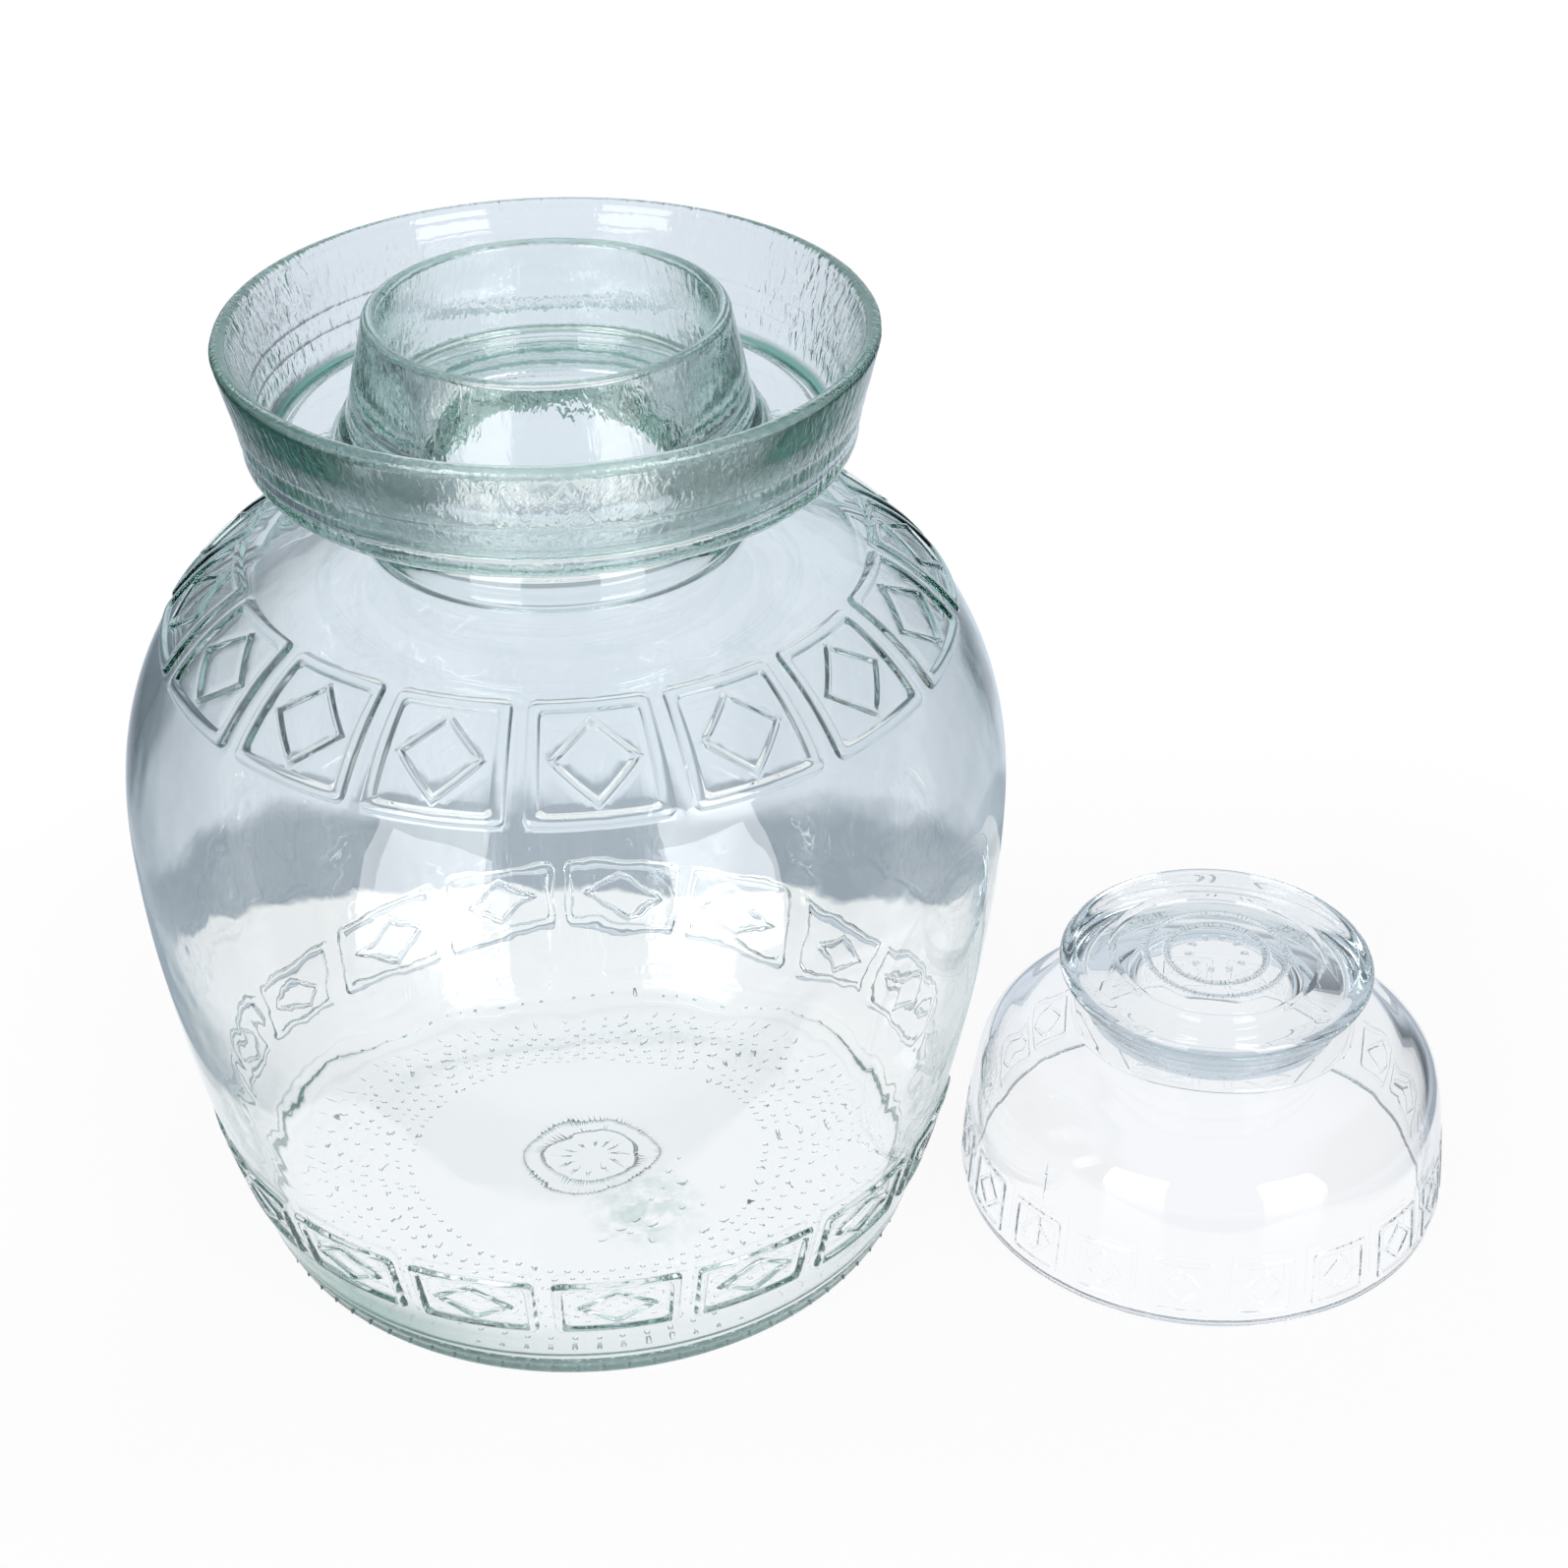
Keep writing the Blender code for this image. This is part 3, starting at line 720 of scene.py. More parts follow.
@dataclass(frozen=True)
class Studs:
    """A ring of small raised studs, with their half sizes outwards, around and up.

    The first one stands some pitches round from +X, and each leans outwards.
    """

    count: int
    radius: float
    size: Place
    phase: float = 0.0
    lean_deg: float = 0.0

    def stud(self, height: float) -> Mesh:
        """The mesh of a stud on +X.

        Args:
            height: Height of its middle.

        Returns:
            The mesh.
        """
        shape = bmesh.new()
        bmesh.ops.create_icosphere(shape, subdivisions=1, radius=1.0)
        lean = math.radians(self.lean_deg)
        for vert in shape.verts:
            out, side, up = (vert.co[axis] * self.size[axis] for axis in range(3))
            vert.co = (
                self.radius + out * math.cos(lean) + up * math.sin(lean), side,
                height + up * math.cos(lean) - out * math.sin(lean),
            )
        mesh = bpy.data.meshes.new("stud")
        shape.to_mesh(mesh)
        shape.free()
        return mesh


class GlassPiece:
    """One piece of glass, gathered from turned stretches, bands and relief."""

    seed: float = 7.0

    def __init__(self, name: str, glass: Glass, centre: Point = (0.0, 0.0)) -> None:
        """Starts an empty piece.

        Args:
            name: Name of the finished object.
            glass: The finish.
            centre: Where the piece's axis stands.
        """
        self.name = name
        self.material = glass.material()
        self.centre = (*centre, 0.0)
        self.parts: list[Mesh] = []
        self.relief: list[Mesh] = []

    def turn(self, outline: Outline, sides: int, starts: Sequence[float] = (0.0,),
             waves: Sequence[float] = (0.0,), depth: float = 0.0, per_metre: float = 40.0) -> None:
        """Adds a stretch of turned surface.

        Args:
            outline: Points as (radius, height).
            sides: How many sides each ring has.
            starts: How far round each ring starts, in radians, one for all or one each.
            waves: How much each ring takes part in the unevenness, one for all or one each.
            depth: How deep the unevenness is.
            per_metre: How many waves the unevenness has in a metre.
        """
        starts = list(starts) * (1 if len(starts) > 1 else len(outline))
        waves = list(waves) * (1 if len(waves) > 1 else len(outline))
        mesh = bpy.data.meshes.new(self.name)
        mesh.from_pydata([(r, a, z) for (r, z), a in zip(outline, starts)], [], [])
        mesh.attributes.new("wave", "FLOAT", "POINT").data.foreach_set("value", waves)
        self.parts.append(turning_tree().mesh(mesh, {
            "Points": len(outline), "Sides": sides, "Centre": self.centre, "Wave Depth": depth,
            "Wave Scale": per_metre, "Seed": self.seed, "Material": self.material,
        }))

    def repeat(self, mesh: Mesh, count: int, phase: float = 0.0) -> Mesh:
        """Repeats a mesh round the piece's axis.

        Args:
            mesh: The mesh.
            count: How many copies there are.
            phase: How far round the first copy is turned, in radians.

        Returns:
            One mesh of all the copies.
        """
        return repeating_tree().mesh(mesh, {
            "Count": count, "Phase": phase, "Centre": self.centre, "Material": self.material,
        })

    def band(self, band: PanelBand, radius_at: Radius) -> None:
        """Adds a band of panels on glass that has some radius at each height."""
        self.parts.append(self.repeat(band.mesh(radius_at), band.panels))

    def studs(self, ring: Studs, height: float) -> None:
        """Adds a ring of studs whose middles are at a height."""
        self.relief.append(self.repeat(ring.stud(height), ring.count, ring.phase * TURN / ring.count))

    def joined(self, meshes: list[Mesh], name: str) -> bpy.types.Object:
        """Welds meshes into one object.

        Args:
            meshes: The meshes, which are used up.
            name: Name of the object.

        Returns:
            The object.
        """
        shape = bmesh.new()
        for mesh in meshes:
            shape.from_mesh(mesh)
            bpy.data.meshes.remove(mesh)
        bmesh.ops.remove_doubles(shape, verts=shape.verts, dist=WELD)
        bmesh.ops.dissolve_degenerate(shape, edges=shape.edges, dist=WELD / 10)
        open_edges = sum(not edge.is_manifold for edge in shape.edges)
        LOG.info("%s: %d faces, %d open edges", name, len(shape.faces), open_edges)
        data = bpy.data.meshes.new(name)
        shape.to_mesh(data)
        shape.free()
        data.materials.clear()
        data.materials.append(self.material)
        thing = bpy.data.objects.new(name, data)
        bpy.context.scene.collection.objects.link(thing)
        return thing

    def modified(self, body: bpy.types.Object, kind: str, **settings: object) -> None:
        """Runs a modifier on an object and keeps what comes out as its plain mesh.

        Args:
            body: The object.
            kind: The modifier's type.
            **settings: Properties of the modifier.
        """
        modifier = body.modifiers.new(kind, kind)
        for name, setting in settings.items():
            setattr(modifier, name, setting)
        graph = bpy.context.evaluated_depsgraph_get()
        data = bpy.data.meshes.new_from_object(body.evaluated_get(graph))
        body.modifiers.remove(modifier)
        body.data = data

    def finish(self) -> bpy.types.Object:
        """Joins the relief to the glass.

        Returns:
            One object with one closed mesh.
        """
        body = self.joined(self.parts, self.name)
        if self.relief:
            relief = self.joined(self.relief, "relief")
            self.modified(body, "BOOLEAN", operation="UNION", solver="MANIFOLD", object=relief)
            bpy.data.objects.remove(relief)
        body.data.shade_smooth()
        # The large faces keep their own normals, so the glass between the studs stays flat.
        self.modified(body, "WEIGHTED_NORMAL", mode="FACE_AREA", weight=50, keep_sharp=False)
        body.data.name = self.name
        triangles = sum(len(face.vertices) - 2 for face in body.data.polygons)
        LOG.info("%s: %d triangles", self.name, triangles)
        return body


@dataclass(frozen=True)
class JarSide:
    """One face of the jar's wall: it flares from heel to belly and closes in a round shoulder."""

    belly_radius: float
    belly_height: float
    heel_radius: float
    neck_radius: float
    shoulder_height: float
    flare_power: float = 1.8
    shoulder_power: float = 2.1

    def radius_at(self, height: float) -> float:
        """Radius at a height.

        Args:
            height: The height.

        Returns:
            The radius.
        """
        if height <= self.belly_height:
            share = 1.0 - (1.0 - height / self.belly_height) ** self.flare_power
            return self.heel_radius + (self.belly_radius - self.heel_radius) * share
        rise = (height - self.belly_height) / (self.shoulder_height - self.belly_height)
        share = (1.0 - min(rise, 1.0) ** self.shoulder_power) ** (1.0 / self.shoulder_power)
        return self.neck_radius + (self.belly_radius - self.neck_radius) * share

    def shoulder_levels(self, low: float, count: int) -> list[float]:
        """Heights up to the shoulder's top, closer together towards it.

        Args:
            low: The first height.
            count: How many steps there are.

        Returns:
            The heights, both ends included.
        """
        tall = self.shoulder_height - self.belly_height
        first = math.asin(((low - self.belly_height) / tall) ** (self.shoulder_power / 2))
        angles = spread(first, math.pi / 2, count)
        return [self.belly_height + tall * math.sin(a) ** (2 / self.shoulder_power) for a in angles]


@dataclass
class BlownVessel:
    """The jar's blown vessel: base, belly, shoulder and neck, with its wall thinnest in the belly."""

    outer: JarSide = JarSide(
        belly_radius=0.1125, belly_height=0.1296, heel_radius=0.0880,
        neck_radius=0.0487, shoulder_height=0.2027,
    )
    inner: JarSide = JarSide(
        belly_radius=0.1085, belly_height=0.1210, heel_radius=0.0842,
        neck_radius=0.0378, shoulder_height=0.1982,
    )
    heel_round: float = 0.0050
    foot_width: float = 0.0130
    bearing: float = 0.0003
    punt_depth: float = 0.0015
    punt_slope: float = 0.0120
    base_chord: float = 0.0040
    heel_bead: float = 0.0004
    heel_bead_height: float = 0.0082
    heel_bead_spread: float = 0.0012
    heel_rows: int = 16
    belly_rows: int = 52
    shoulder_rows: int = 10
    neck_fillet: float = 0.0025
    neck_top: float = 0.21415
    inner_shoulder_rows: int = 36
    inner_belly_rows: int = 42
    floor: float = 0.0055
    floor_fillet: float = 0.0085
    floor_chord: float = 0.0050
    wave_depth: float = 0.0008
    waves_per_metre: float = 38.0
    wave_fade_rows: int = 8
    stipple: Studs = Studs(76, 0.0752, (0.0009, 0.0009, 0.00024))
    stipple_rows: int = 7
    stipple_pitch: float = 0.0042
    base_dashes: Studs = Studs(76, 0.0796, (0.0020, 0.0007, 0.00028))
    base_rings: tuple[Studs, ...] = (
        Studs(90, 0.0180, (0.0004, 0.0009, 0.00011)), Studs(90, 0.0128, (0.0004, 0.0009, 0.00011)),
        Studs(12, 0.0075, (0.0007, 0.0007, 0.00015)),
    )
    tick_count: int = 85
    tick_height: float = 0.0042
    tick_size: Place = (0.0003, 0.0005, 0.0012)
    shear_width: Point = (0.0010, 0.0022)
    shear_rise: float = 0.0005
    shear_mark: tuple[Point, ...] = (
        (0.0159, -0.0081), (0.0252, -0.0055), (0.0227, -0.0110), (0.0216, -0.0187), (0.0184, -0.0220),
        (0.0145, -0.0271), (0.0104, -0.0310), (0.0050, -0.0369), (0.0257, -0.0148), (0.0257, -0.0246),
        (0.0192, -0.0297), (0.0132, -0.0335), (0.0192, -0.0365), (0.0318, -0.0233), (0.0381, -0.0165),
        (0.0370, -0.0290), (0.0452, -0.0200), (0.0318, -0.0330),
    )
    heel_band: PanelBand = PanelBand(
        panels=17, low=0.0215, rise=0.0225, gap=0.0036, bar=0.0032, diamond_width=0.0190,
        diamond_height=0.0124, middle_deg=-82.4, columns=16, rows=10,
    )
    shoulder_band: PanelBand = PanelBand(
        panels=16, low=0.1755, rise=0.0210, gap=0.0032, bar=0.0038, diamond_width=0.0196,
        diamond_height=0.0196, middle_deg=-81.6, columns=17, rows=14,
    )

    @property
    def punt_radius(self) -> float:
        """Radius at which the hollow of the base ends."""
        return self.outer.radius_at(self.heel_round) - self.heel_round - self.foot_width

    def base(self) -> Outline:
        """The outline from the middle of the base up to the heel's band.

        Returns:
            Points as (radius, height).
        """
        punt = self.punt_radius
        base = [(0.0, self.punt_depth), (punt - self.punt_slope, self.punt_depth), (punt, self.bearing)]
        base += arc((punt + self.foot_width, self.heel_round), self.heel_round - self.bearing, -90, 0)
        base = filled(base, self.base_chord)
        for height in spread(self.heel_round, self.heel_band.low, self.heel_rows)[1:]:
            off = (height - self.heel_bead_height) / self.heel_bead_spread
            base.append((self.outer.radius_at(height) + self.heel_bead * math.exp(-off ** 2), height))
        return base

    def top(self) -> Outline:
        """The outline from the shoulder's band up to the neck and over its rim.

        Returns:
            Points as (radius, height).
        """
        side, fillet = self.outer, self.neck_fillet
        levels = side.shoulder_levels(self.shoulder_band.high, self.shoulder_rows)
        top = [(side.radius_at(z), z) for z in levels[:-1]]
        top += arc((side.neck_radius, side.shoulder_height + fillet), fillet, 270, 180)
        return top + [(side.neck_radius - fillet, self.neck_top), (self.inner.neck_radius, self.neck_top)]

    def inside(self) -> Outline:
        """The outline of the hollow, from its shoulder down to the middle of its floor.

        Returns:
            Points as (radius, height).
        """
        side, fillet = self.inner, self.floor_fillet
        low = self.floor + fillet
        levels = side.shoulder_levels(side.belly_height, self.inner_shoulder_rows)[::-1]
        levels += spread(low, side.belly_height, self.inner_belly_rows)[-2::-1]
        inside = [(side.radius_at(z), z) for z in levels]
        inside += arc((side.radius_at(low) - fillet, low), fillet, 0, -90, 10)[1:]
        return inside + filled([inside[-1], (0.0, self.floor)], self.floor_chord)[1:]

    def build(self) -> bpy.types.Object:
        """Builds the vessel.

        Returns:
            The finished object.
        """
        piece = GlassPiece("blown_vessel", VESSEL_GLASS)
        sides, radius_at = self.heel_band.sides, self.outer.radius_at
        low_start, high_start = self.heel_band.start, self.shoulder_band.start
        piece.turn(self.base(), sides, [low_start])
        piece.band(self.heel_band, radius_at)
        levels = spread(self.heel_band.high, self.shoulder_band.low, self.belly_rows)
        drift = (high_start - low_start) / self.belly_rows
        starts = [low_start + drift * k for k in range(len(levels))]
        piece.turn([(radius_at(z), z) for z in levels], sides, starts)
        piece.band(self.shoulder_band, radius_at)
        top, inside = self.top(), self.inside()
        waves = [0.0] * (len(top) + 1)
        waves += [min(k / self.wave_fade_rows, 1.0) for k in range(len(inside) - 1)]
        piece.turn(top + inside, sides, [high_start], waves, self.wave_depth, self.waves_per_metre)
        self.mark_base(piece)
        return piece.finish()

    def mark_base(self, piece: GlassPiece) -> None:
        """Adds the stipple under the base, the ticks round the heel and the mark of the shears.

        Args:
            piece: The vessel.
        """
        top = self.punt_depth
        for row in range(self.stipple_rows):
            radius = self.stipple.radius - self.stipple_pitch * row
            share = min(max((self.punt_radius - radius) / self.punt_slope, 0.0), 1.0)
            level = share * (top - self.bearing) + self.bearing
            piece.studs(replace(self.stipple, radius=radius, phase=row % 2 / 2), level)
        piece.studs(self.base_dashes, self.bearing)
        for ring in self.base_rings:
            piece.studs(ring, top)
        heel = self.outer.radius_at(self.heel_round) - self.tick_size[0]
        piece.studs(Studs(self.tick_count, heel, self.tick_size), self.tick_height)
        chance = random.Random(4)
        for x, y in self.shear_mark:
            reach = chance.uniform(*self.shear_width)
            size = (reach * 0.6, reach, self.shear_rise)
            piece.studs(Studs(1, math.hypot(x, y), size, math.atan2(y, x) / TURN), top)


@dataclass
class WaterBasin:
    """The pressed basin that holds the sealing water, with the mouth collar in its middle."""

    sides: int = 256
    lower: float = 0.2140
    bore_radius: float = 0.0378
    neck_radius: float = 0.0462
    underside: float = 0.2225
    underside_fall: float = 0.0015
    underside_fillet: float = 0.0035
    foot_radius: float = 0.0740
    corner: float = 0.0055
    rim_radius: float = 0.0792
    rim_height: float = 0.2552
    rim_wall: float = 0.0040
    step_heights: Point = (0.2334, 0.2384)
    mould_step: float = 0.0007
    trough_height: float = 0.2280
    trough_radius: float = 0.0665
    trough_fillet: float = 0.0020
    rim_flare: float = 0.0022
    rim_flare_drop: float = 0.0052
    rim_flare_length: float = 0.0170
    groove: float = 0.0013
    collar_foot_radius: float = 0.0515
    collar_foot_rise: float = 0.0050
    collar_foot_step: float = 0.0022
    collar_radius: float = 0.0438
    collar_height: float = 0.2585
    collar_wall: float = 0.0036
    throat_radius: float = 0.0393
    ledge: float = 0.2305
    ledge_slope: float = 0.0025
    chord: float = 0.0016
    wave_depth: float = 0.0005
    waves_per_metre: float = 70.0

    def outer(self) -> Outline:
        """The outside of the section, from the bore's lower edge to the rim.

        Returns:
            Points as (radius, height), anticlockwise.
        """
        rim_round = self.rim_wall / 2
        rim_level = self.rim_height - rim_round
        corner_level = self.underside + self.underside_fall + self.corner
        slope = (self.rim_radius - self.foot_radius) / (rim_level - corner_level)
        fillet = (self.neck_radius + self.underside_fillet, self.underside - self.underside_fillet)
        outline = [(self.bore_radius, self.lower), (self.neck_radius, self.lower)]
        outline += arc(fillet, self.underside_fillet, 180, 90)
        outline += arc((self.foot_radius - self.corner, corner_level), self.corner, -90, 0)
        for height in self.step_heights:
            wall = self.foot_radius + slope * (height - corner_level)
            outline += smooth([
                (wall - self.mould_step, height - self.mould_step / 2),
                (wall - self.mould_step / 4, height + self.mould_step / 2),
                (wall, height + 2 * self.mould_step),
            ], 2)
        return outline + arc((self.rim_radius - rim_round, rim_level), rim_round, 0, 180, 12)

    def trough(self, rim: Point) -> Outline:
        """The inside of the basin, from its rim to the foot of the collar.

        Args:
            rim: The last point of the rim.

        Returns:
            Points as (radius, height).
        """
        radius, floor = self.trough_radius, self.trough_height
        fillet, groove = self.trough_fillet, self.groove
        flare = (rim[0] - self.rim_flare, self.rim_height - self.rim_wall / 2 - self.rim_flare_drop)
        outline = smooth([rim, flare, (radius + fillet, flare[1] - self.rim_flare_length)], 4)[1:-1]
        outline += arc((radius, floor + fillet), fillet, 0, -90)
        foot, step = self.collar_foot_radius, self.collar_foot_step
        foot_top = floor + self.collar_foot_rise
        return outline + [
            (radius - groove / 2, floor - groove), (radius - groove * 1.5, floor - groove),
            (radius - groove * 2, floor), (foot, floor), (foot - step / 4, foot_top - step),
            (foot - step / 2, foot_top - step / 3), (foot - step, foot_top),
        ]

    def outline(self) -> Outline:
        """The section, anticlockwise from the bore's lower edge and back to it.

        Returns:
            Points as (radius, height).
        """
        outline = self.outer()
        outline += self.trough(outline[-1])
        lip_round = self.collar_wall / 2
        lip = (self.collar_radius - lip_round, self.collar_height - lip_round)
        outline += arc(lip, lip_round, 0, 180, 12)
        outline += [(self.throat_radius, self.ledge + self.ledge_slope), (self.bore_radius, self.ledge)]
        return filled(outline + outline[:1], self.chord)

    def build(self) -> bpy.types.Object:
        """Builds the basin.

        Returns:
            The finished object.
        """
        piece = GlassPiece("pressed_basin", BASIN_GLASS)
        outline = self.outline()
        waves = [1.0 if height > self.underside else 0.0 for _, height in outline]
        piece.turn(outline, self.sides, (0.0,), waves, self.wave_depth, self.waves_per_metre)
        return piece.finish()


@dataclass
class BowlLid:
    """The pressed bowl that is the lid, mouth down, with its foot on top."""

    centre: Point = (0.1706, -0.0060)
    radius: float = 0.0659
    dome_height: float = 0.0560
    wall: float = 0.0036
    rim_round: float = 0.0012
    neck_radius: float = 0.0342
    neck_height: float = 0.0575
    foot_radius: float = 0.0418
    foot_height: float = 0.0748
    recess_radius: float = 0.0290
    recess_depth: float = 0.0010
    recess_slope: float = 0.0025
    recess_chord: float = 0.0030
    hollow_radius: float = 0.0240
    hollow_height: float = 0.0600
    wave_depth: float = 0.0003
    waves_per_metre: float = 45.0
    wave_fade_rows: int = 6
    even_rows: int = 12
    band: PanelBand = PanelBand(
        panels=19, low=0.0038, rise=0.0182, gap=0.0045, bar=0.0022, diamond_width=0.0100,
        diamond_height=0.0106, middle_deg=-82.3, columns=12, rows=9, corner=0.0016, relief=0.0004,
        edge=0.0008, diamond_bar=0.0016, grain=0.0020,
    )
    # Shares of the dome's radius and height, of the foot's reach and rise, and of the hollow.
    dome_shares: tuple[Point, ...] = (
        (0.993, 0.0), (1.0, 0.05), (0.995, 0.18), (0.982, 0.36), (0.965, 0.55), (0.924, 0.73),
        (0.824, 0.85), (0.712, 0.91), (0.560, 0.98),
    )
    foot_shares: tuple[Point, ...] = (
        (0.0, 0.0), (0.06, 0.16), (0.42, 0.40), (0.84, 0.62), (1.0, 0.80), (0.83, 0.93), (0.42, 1.0),
    )
    hollow_shares: tuple[Point, ...] = ((0.6, 0.0), (0.85, 0.2), (1.0, 0.6))
    recess_rings: tuple[Studs, ...] = (
        Studs(96, 0.0190, (0.0006, 0.0009, 0.0004)), Studs(72, 0.0135, (0.0006, 0.0009, 0.0004)),
        Studs(10, 0.0075, (0.0010, 0.0010, 0.0004)),
    )
    # The mould seam's marks: height, half length and lean of each.
    seam_deg: float = -138.0
    seam_width: Point = (0.0004, 0.0003)
    seams: tuple[Place, ...] = ((0.0300, 0.0080, -5.0), (0.0145, 0.0085, -3.0))

    def dome(self) -> Outline:
        """The dome's outline, from its rim to the foot's neck."""
        return [(r * self.radius, z * self.dome_height) for r, z in smooth(self.dome_shares, 5)]

    def radius_at(self, height: float) -> float:
        """Outer radius of the dome.

        Args:
            height: The height.

        Returns:
            The radius there.
        """
        outline = self.dome()
        for (r0, z0), (r1, z1) in zip(outline, outline[1:]):
            if height <= z1:
                return r0 + (r1 - r0) * (height - z0) / (z1 - z0)
        return outline[-1][0]

    def inside(self) -> Outline:
        """The outline from the top of the hollow down, round the rim and up to the band.

        Returns:
            Points as (radius, height).
        """
        fall = self.hollow_height - self.dome_height + self.wall
        hollow = [(self.hollow_radius * r, self.hollow_height - fall * z) for r, z in self.hollow_shares]
        inside = [(0.0, self.hollow_height), *smooth(hollow, 3)]
        inside += [
            (r - self.wall, z - self.wall * z / self.dome_height)
            for r, z in reversed(self.dome()[2:]) if r - self.wall > self.hollow_radius
        ]
        rim, turn = self.dome()[0][0], self.rim_round
        inside += arc((rim - self.wall + turn, turn), turn, 180, 270, 4)
        inside += arc((rim - turn, turn), turn, 270, 350, 4)
        return inside + [(self.radius_at(self.band.low), self.band.low)]

    def outside(self) -> Outline:
        """The outline from the band up the dome and over the foot to the middle of its recess.

        Returns:
            Points as (radius, height).
        """
        outside = [(self.radius_at(self.band.high), self.band.high)]
        outside += [point for point in self.dome() if point[1] > self.band.high + WELD]
        stand, rise = self.foot_radius - self.neck_radius, self.foot_height - self.neck_height
        outside += smooth([
            (self.neck_radius + stand * r, self.neck_height + rise * z) for r, z in self.foot_shares
        ], 6)
        recess = self.foot_height - self.recess_depth
        outside += smooth([
            (self.recess_radius, self.foot_height - self.recess_depth / 6),
            (self.recess_radius - self.recess_slope / 2, recess + self.recess_depth / 3),
            (self.recess_radius - self.recess_slope, recess),
        ], 4)
        return outside + filled([outside[-1], (0.0, recess)], self.recess_chord)[1:]

    def build(self) -> bpy.types.Object:
        """Builds the lid.

        Returns:
            The finished object.
        """
        piece = GlassPiece("pressed_bowl_lid", LID_GLASS, self.centre)
        sides, start = self.band.sides, [self.band.start]
        inside, outside = self.inside(), self.outside()
        waves = [min(k / self.wave_fade_rows, 1.0) for k in range(len(inside) - self.even_rows)]
        waves += [0.0] * self.even_rows
        piece.turn(inside, sides, start, waves, self.wave_depth, self.waves_per_metre)
        piece.band(self.band, self.radius_at)
        piece.turn(outside, sides, start)
        for ring in self.recess_rings:
            piece.studs(ring, outside[-1][1])
        for height, reach, lean in self.seams:
            size = (*self.seam_width, reach)
            piece.studs(Studs(2, self.radius_at(height), size, self.seam_deg / 180.0, lean), height)
        return piece.finish()


@dataclass(frozen=True)
class SoftBox:
    """An upright lamp that glass shows as a bright window."""

    name: str
    azimuth_deg: float
    width: float = 0.8
    tall: float = 1.15
    away: float = 1.5
    watts: float = 12.5

    def build(self) -> None:
        """Adds the lamp, standing on the floor and turned to the axis of the jar."""
        lamp = bpy.data.lights.new(self.name, "AREA")
        lamp.shape = "RECTANGLE"
        lamp.size = self.width
        lamp.size_y = self.tall
        lamp.energy = self.watts
        turn = math.radians(self.azimuth_deg)
        thing = bpy.data.objects.new(self.name, lamp)
        thing.location = (self.away * math.sin(turn), -self.away * math.cos(turn), self.tall / 2)
        thing.rotation_euler = (math.pi / 2, 0.0, turn)
        thing.visible_camera = False
        bpy.context.scene.collection.objects.link(thing)


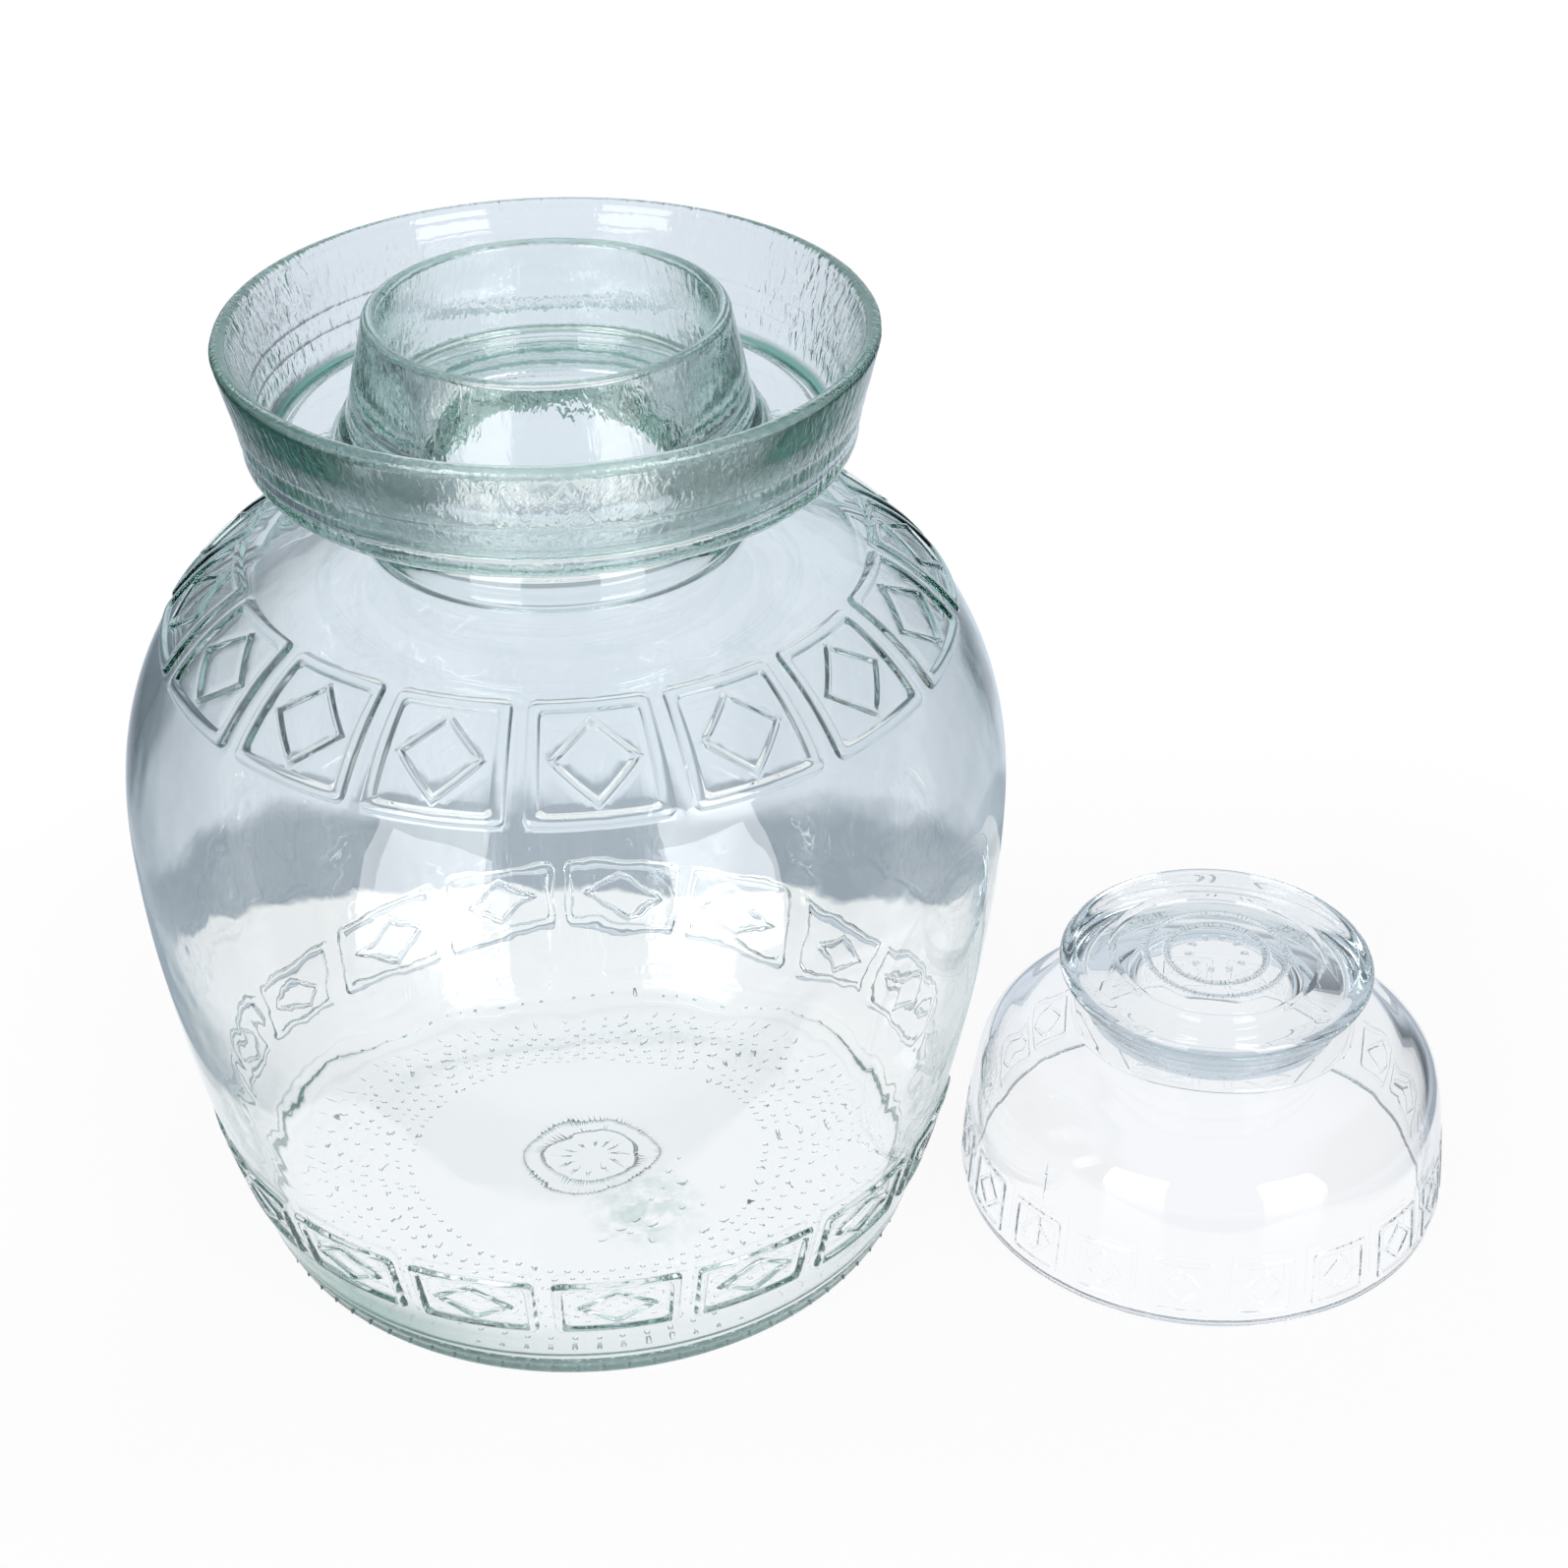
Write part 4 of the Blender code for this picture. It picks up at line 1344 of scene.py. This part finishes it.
@dataclass
class Studio:
    """Pale floor, plain soft light and the camera at the photograph's angle.

    The floor is white to the eye. Glass shows a white board under the jar and its lid, a grey strip of
    painted shadow round the board's edge, and a pale blue-grey cloth beyond it. Ramps go by the distance
    past the board, but for two: the cloth darkens to the sides in painted shade, and the world by how far
    aside a ray goes.
    """

    floor_half: float = 3.0
    floor_colour: str = "#f4f6f8"
    board_colour: str = "#fcfdff"
    # Painted shadow: the grey strip round the board's edge that glass shows.
    shadow_strip_colour: str = "#a3aeb9"
    cloth_colour: str = "#e5edf7"
    # Painted shade: the dark colour the cloth takes towards the sides.
    side_shade_colour: str = "#5b6874"
    board_centre: Point = (0.0665, 0.0)
    board_inner: Point = (0.1760, 0.113)
    board_round: float = 0.035
    to_shadow_strip: Ramp = Ramp(0.0, 0.004, smooth=False)
    to_cloth: Ramp = Ramp(0.042, 0.067)
    to_side_shade: Ramp = Ramp(0.20, 0.45)
    to_plain: Ramp = Ramp(-0.08, 0.08, 0.90, 1.0, smooth=False)
    to_dark: Ramp = Ramp(0.40, 0.75, 0.90, 0.14)
    board_ior: float = 1.2
    board_roughness: float = 0.12
    light: float = 0.5
    bounces: int = 32
    lens_mm: float = 68.83
    sensor_mm: float = 36.0
    camera_place: Place = (0.0553, -0.6561, 0.5438)
    camera_tilt_deg: float = 57.42
    camera_roll_deg: float = -0.38
    softboxes: tuple[SoftBox, ...] = (SoftBox("left softbox", -32.0), SoftBox("right softbox", 40.0, 0.68))

    def build(self) -> None:
        """Builds the whole studio."""
        self.build_floor()
        self.build_world()
        for softbox in self.softboxes:
            softbox.build()
        self.build_camera()
        self.build_light_paths()

    def past_board(self, graph: Graph) -> Node:
        """Adds how far a place on the floor lies outside the white board.

        Args:
            graph: The floor's nodes.

        Returns:
            The node that holds the distance, which is below zero on the board.
        """
        off = graph.add("ShaderNodeTexCoord").outputs["Object"]
        for operation, value in (
            ("SUBTRACT", (*self.board_centre, 0.0)), ("ABSOLUTE", ORIGIN),
            ("SUBTRACT", (*self.board_inner, 0.0)), ("MAXIMUM", ORIGIN), ("LENGTH", ORIGIN),
        ):
            off = graph.add("ShaderNodeVectorMath", {0: off, 1: value}, operation=operation)
        return graph.add("ShaderNodeMath", {0: off, 1: self.board_round}, operation="SUBTRACT")

    def floor_colours(self, graph: Graph, past: Node, by_eye: Socket) -> Node:
        """Adds the floor's colours: white to the eye, and in glass the board, a painted shadow strip round
        its edge and the cloth, which darkens to the sides in painted shade.

        Args:
            graph: The floor's nodes.
            past: How far a place lies outside the board.
            by_eye: Whether the camera sees the floor with nothing between.

        Returns:
            The node that holds the colour.
        """
        side = graph.measure(Measure.ACROSS)
        for operation, value in (("SUBTRACT", self.board_centre[0]), ("ABSOLUTE", 0.0)):
            side = graph.add("ShaderNodeMath", {0: side, 1: value}, operation=operation)
        # Painted shade: the cloth darkens towards the sides.
        cloth = graph.add("ShaderNodeMix", {
            "Factor": graph.share((side, self.to_side_shade)),
            "A": linear(self.cloth_colour), "B": linear(self.side_shade_colour),
        }, data_type="RGBA")
        colour = linear(self.board_colour)
        # Over the board go a grey strip of painted shadow round its edge, then the cloth, and white where
        # the camera looks straight at the floor.
        for factor, over in (
            (graph.share((past, self.to_shadow_strip)), linear(self.shadow_strip_colour)),
            (graph.share((past, self.to_cloth)), cloth),
            (by_eye, linear(WHITE)),
        ):
            colour = graph.add("ShaderNodeMix", {"Factor": factor, "A": colour, "B": over}, data_type="RGBA")
        return colour

    def build_floor(self) -> None:
        """Adds the floor: white to the eye, and it keeps the shadow."""
        mesh = bpy.data.meshes.new("floor")
        half = self.floor_half
        corners = [(x * half, y * half, 0.0) for x, y in ((-1, -1), (1, -1), (1, 1), (-1, 1))]
        mesh.from_pydata(corners, [], [(0, 1, 2, 3)])
        floor = bpy.data.objects.new("floor", mesh)
        bpy.context.scene.collection.objects.link(floor)
        material = bpy.data.materials.new("white acrylic board")
        material.use_nodes = True
        graph = Graph(material.node_tree)
        path = graph.add("ShaderNodeLightPath").outputs
        by_eye, by_matt = path["Is Camera Ray"], path["Is Diffuse Ray"]
        past = self.past_board(graph)
        glow = graph.add("ShaderNodeEmission", {
            "Color": self.floor_colours(graph, past, by_eye), "Strength": 1.0,
        })
        plain = graph.add("ShaderNodeBsdfDiffuse", {"Color": linear(self.floor_colour)})
        # The shadow shows near the glass, and further off the floor is plain white.
        eye = graph.add("ShaderNodeMix", {
            "Factor": by_eye, "A": 1.0, "B": graph.share((past, self.to_plain)),
        }, data_type="FLOAT")
        not_matt = graph.add("ShaderNodeMath", {0: 1.0, 1: by_matt}, operation="SUBTRACT")
        seen = graph.add("ShaderNodeMath", {0: eye, 1: not_matt}, operation="MULTIPLY")
        board = graph.add("ShaderNodeMixShader", {0: seen, 1: plain, 2: glow})
        # Glass also shows the lamps mirrored in the board.
        mirror = graph.add("ShaderNodeBsdfGlossy", {"Roughness": self.board_roughness})
        sheen = graph.add("ShaderNodeFresnel", {"IOR": self.board_ior})
        outright = graph.add("ShaderNodeMath", {0: by_eye, 1: by_matt}, operation="MAXIMUM")
        in_glass = graph.add("ShaderNodeMath", {0: 1.0, 1: outright}, operation="SUBTRACT")
        mirrored = graph.add("ShaderNodeMath", {0: sheen, 1: in_glass}, operation="MULTIPLY")
        graph.add("ShaderNodeOutputMaterial", {
            "Surface": graph.add("ShaderNodeMixShader", {0: mirrored, 1: board, 2: mirror}),
        })
        mesh.materials.append(material)

    def build_world(self) -> None:
        """Adds the even studio light: white to the eye, and in glass pale ahead and dark to the sides."""
        world = bpy.data.worlds.new("studio")
        bpy.context.scene.world = world
        world.use_nodes = True
        graph = Graph(world.node_tree)
        path = graph.add("ShaderNodeLightPath").outputs
        in_glass = graph.add("ShaderNodeMath", {
            0: path["Is Glossy Ray"], 1: path["Is Transmission Ray"],
        }, operation="MAXIMUM")
        way = graph.add("ShaderNodeSeparateXYZ", {0: graph.add("ShaderNodeTexCoord").outputs["Generated"]})
        aside = graph.add("ShaderNodeMath", {0: way}, operation="ABSOLUTE")
        light, glassy, white = (
            graph.add("ShaderNodeBackground", {"Color": linear(colour), "Strength": strength})
            for colour, strength in (
                (WHITE, self.light), (self.cloth_colour, graph.share((aside, self.to_dark))), (WHITE, 1.0),
            )
        )
        unseen = graph.add("ShaderNodeMixShader", {0: in_glass, 1: light, 2: glassy})
        graph.add("ShaderNodeOutputWorld", {
            "Surface": graph.add("ShaderNodeMixShader", {0: path["Is Camera Ray"], 1: unseen, 2: white}),
        })

    def build_camera(self) -> None:
        """Adds the camera and makes it the scene's."""
        data = bpy.data.cameras.new("camera")
        data.lens = self.lens_mm
        data.sensor_width = self.sensor_mm
        data.sensor_fit = "HORIZONTAL"
        camera = bpy.data.objects.new("camera", data)
        camera.location = self.camera_place
        camera.rotation_mode = "XYZ"
        camera.rotation_euler = (math.radians(self.camera_tilt_deg), 0.0, 0.0)
        camera.rotation_euler.rotate_axis("Z", math.radians(self.camera_roll_deg))
        bpy.context.scene.collection.objects.link(camera)
        bpy.context.scene.camera = camera
        bpy.context.scene.view_settings.view_transform = "Standard"

    def build_light_paths(self) -> None:
        """Lets light go on through many walls of glass, where too few bounces end in black."""
        paths = bpy.context.scene.cycles
        paths.max_bounces = self.bounces
        paths.transmission_bounces = self.bounces
        paths.glossy_bounces = self.bounces


def dress(piece: bpy.types.Object, body: str, node: str) -> None:
    """Gives a finished piece its place in the frame, and reports it.

    Args:
        piece: The piece.
        body: The body that it rides on.
        node: The node of the solids that it stands for.
    """
    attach(piece, body)
    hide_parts(node)
    LOG.info("%s rides on %s and stands for %s", piece.name, body, node)


def main() -> None:
    """Builds the glass and the studio."""
    logging.basicConfig(level=logging.INFO)
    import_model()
    dress(BlownVessel().build(), "jar", "jar_body")
    dress(WaterBasin().build(), "jar", "water_basin")
    dress(BowlLid().build(), "lid", "bowl_lid")
    Studio().build()


if __name__ == "__main__":
    main()
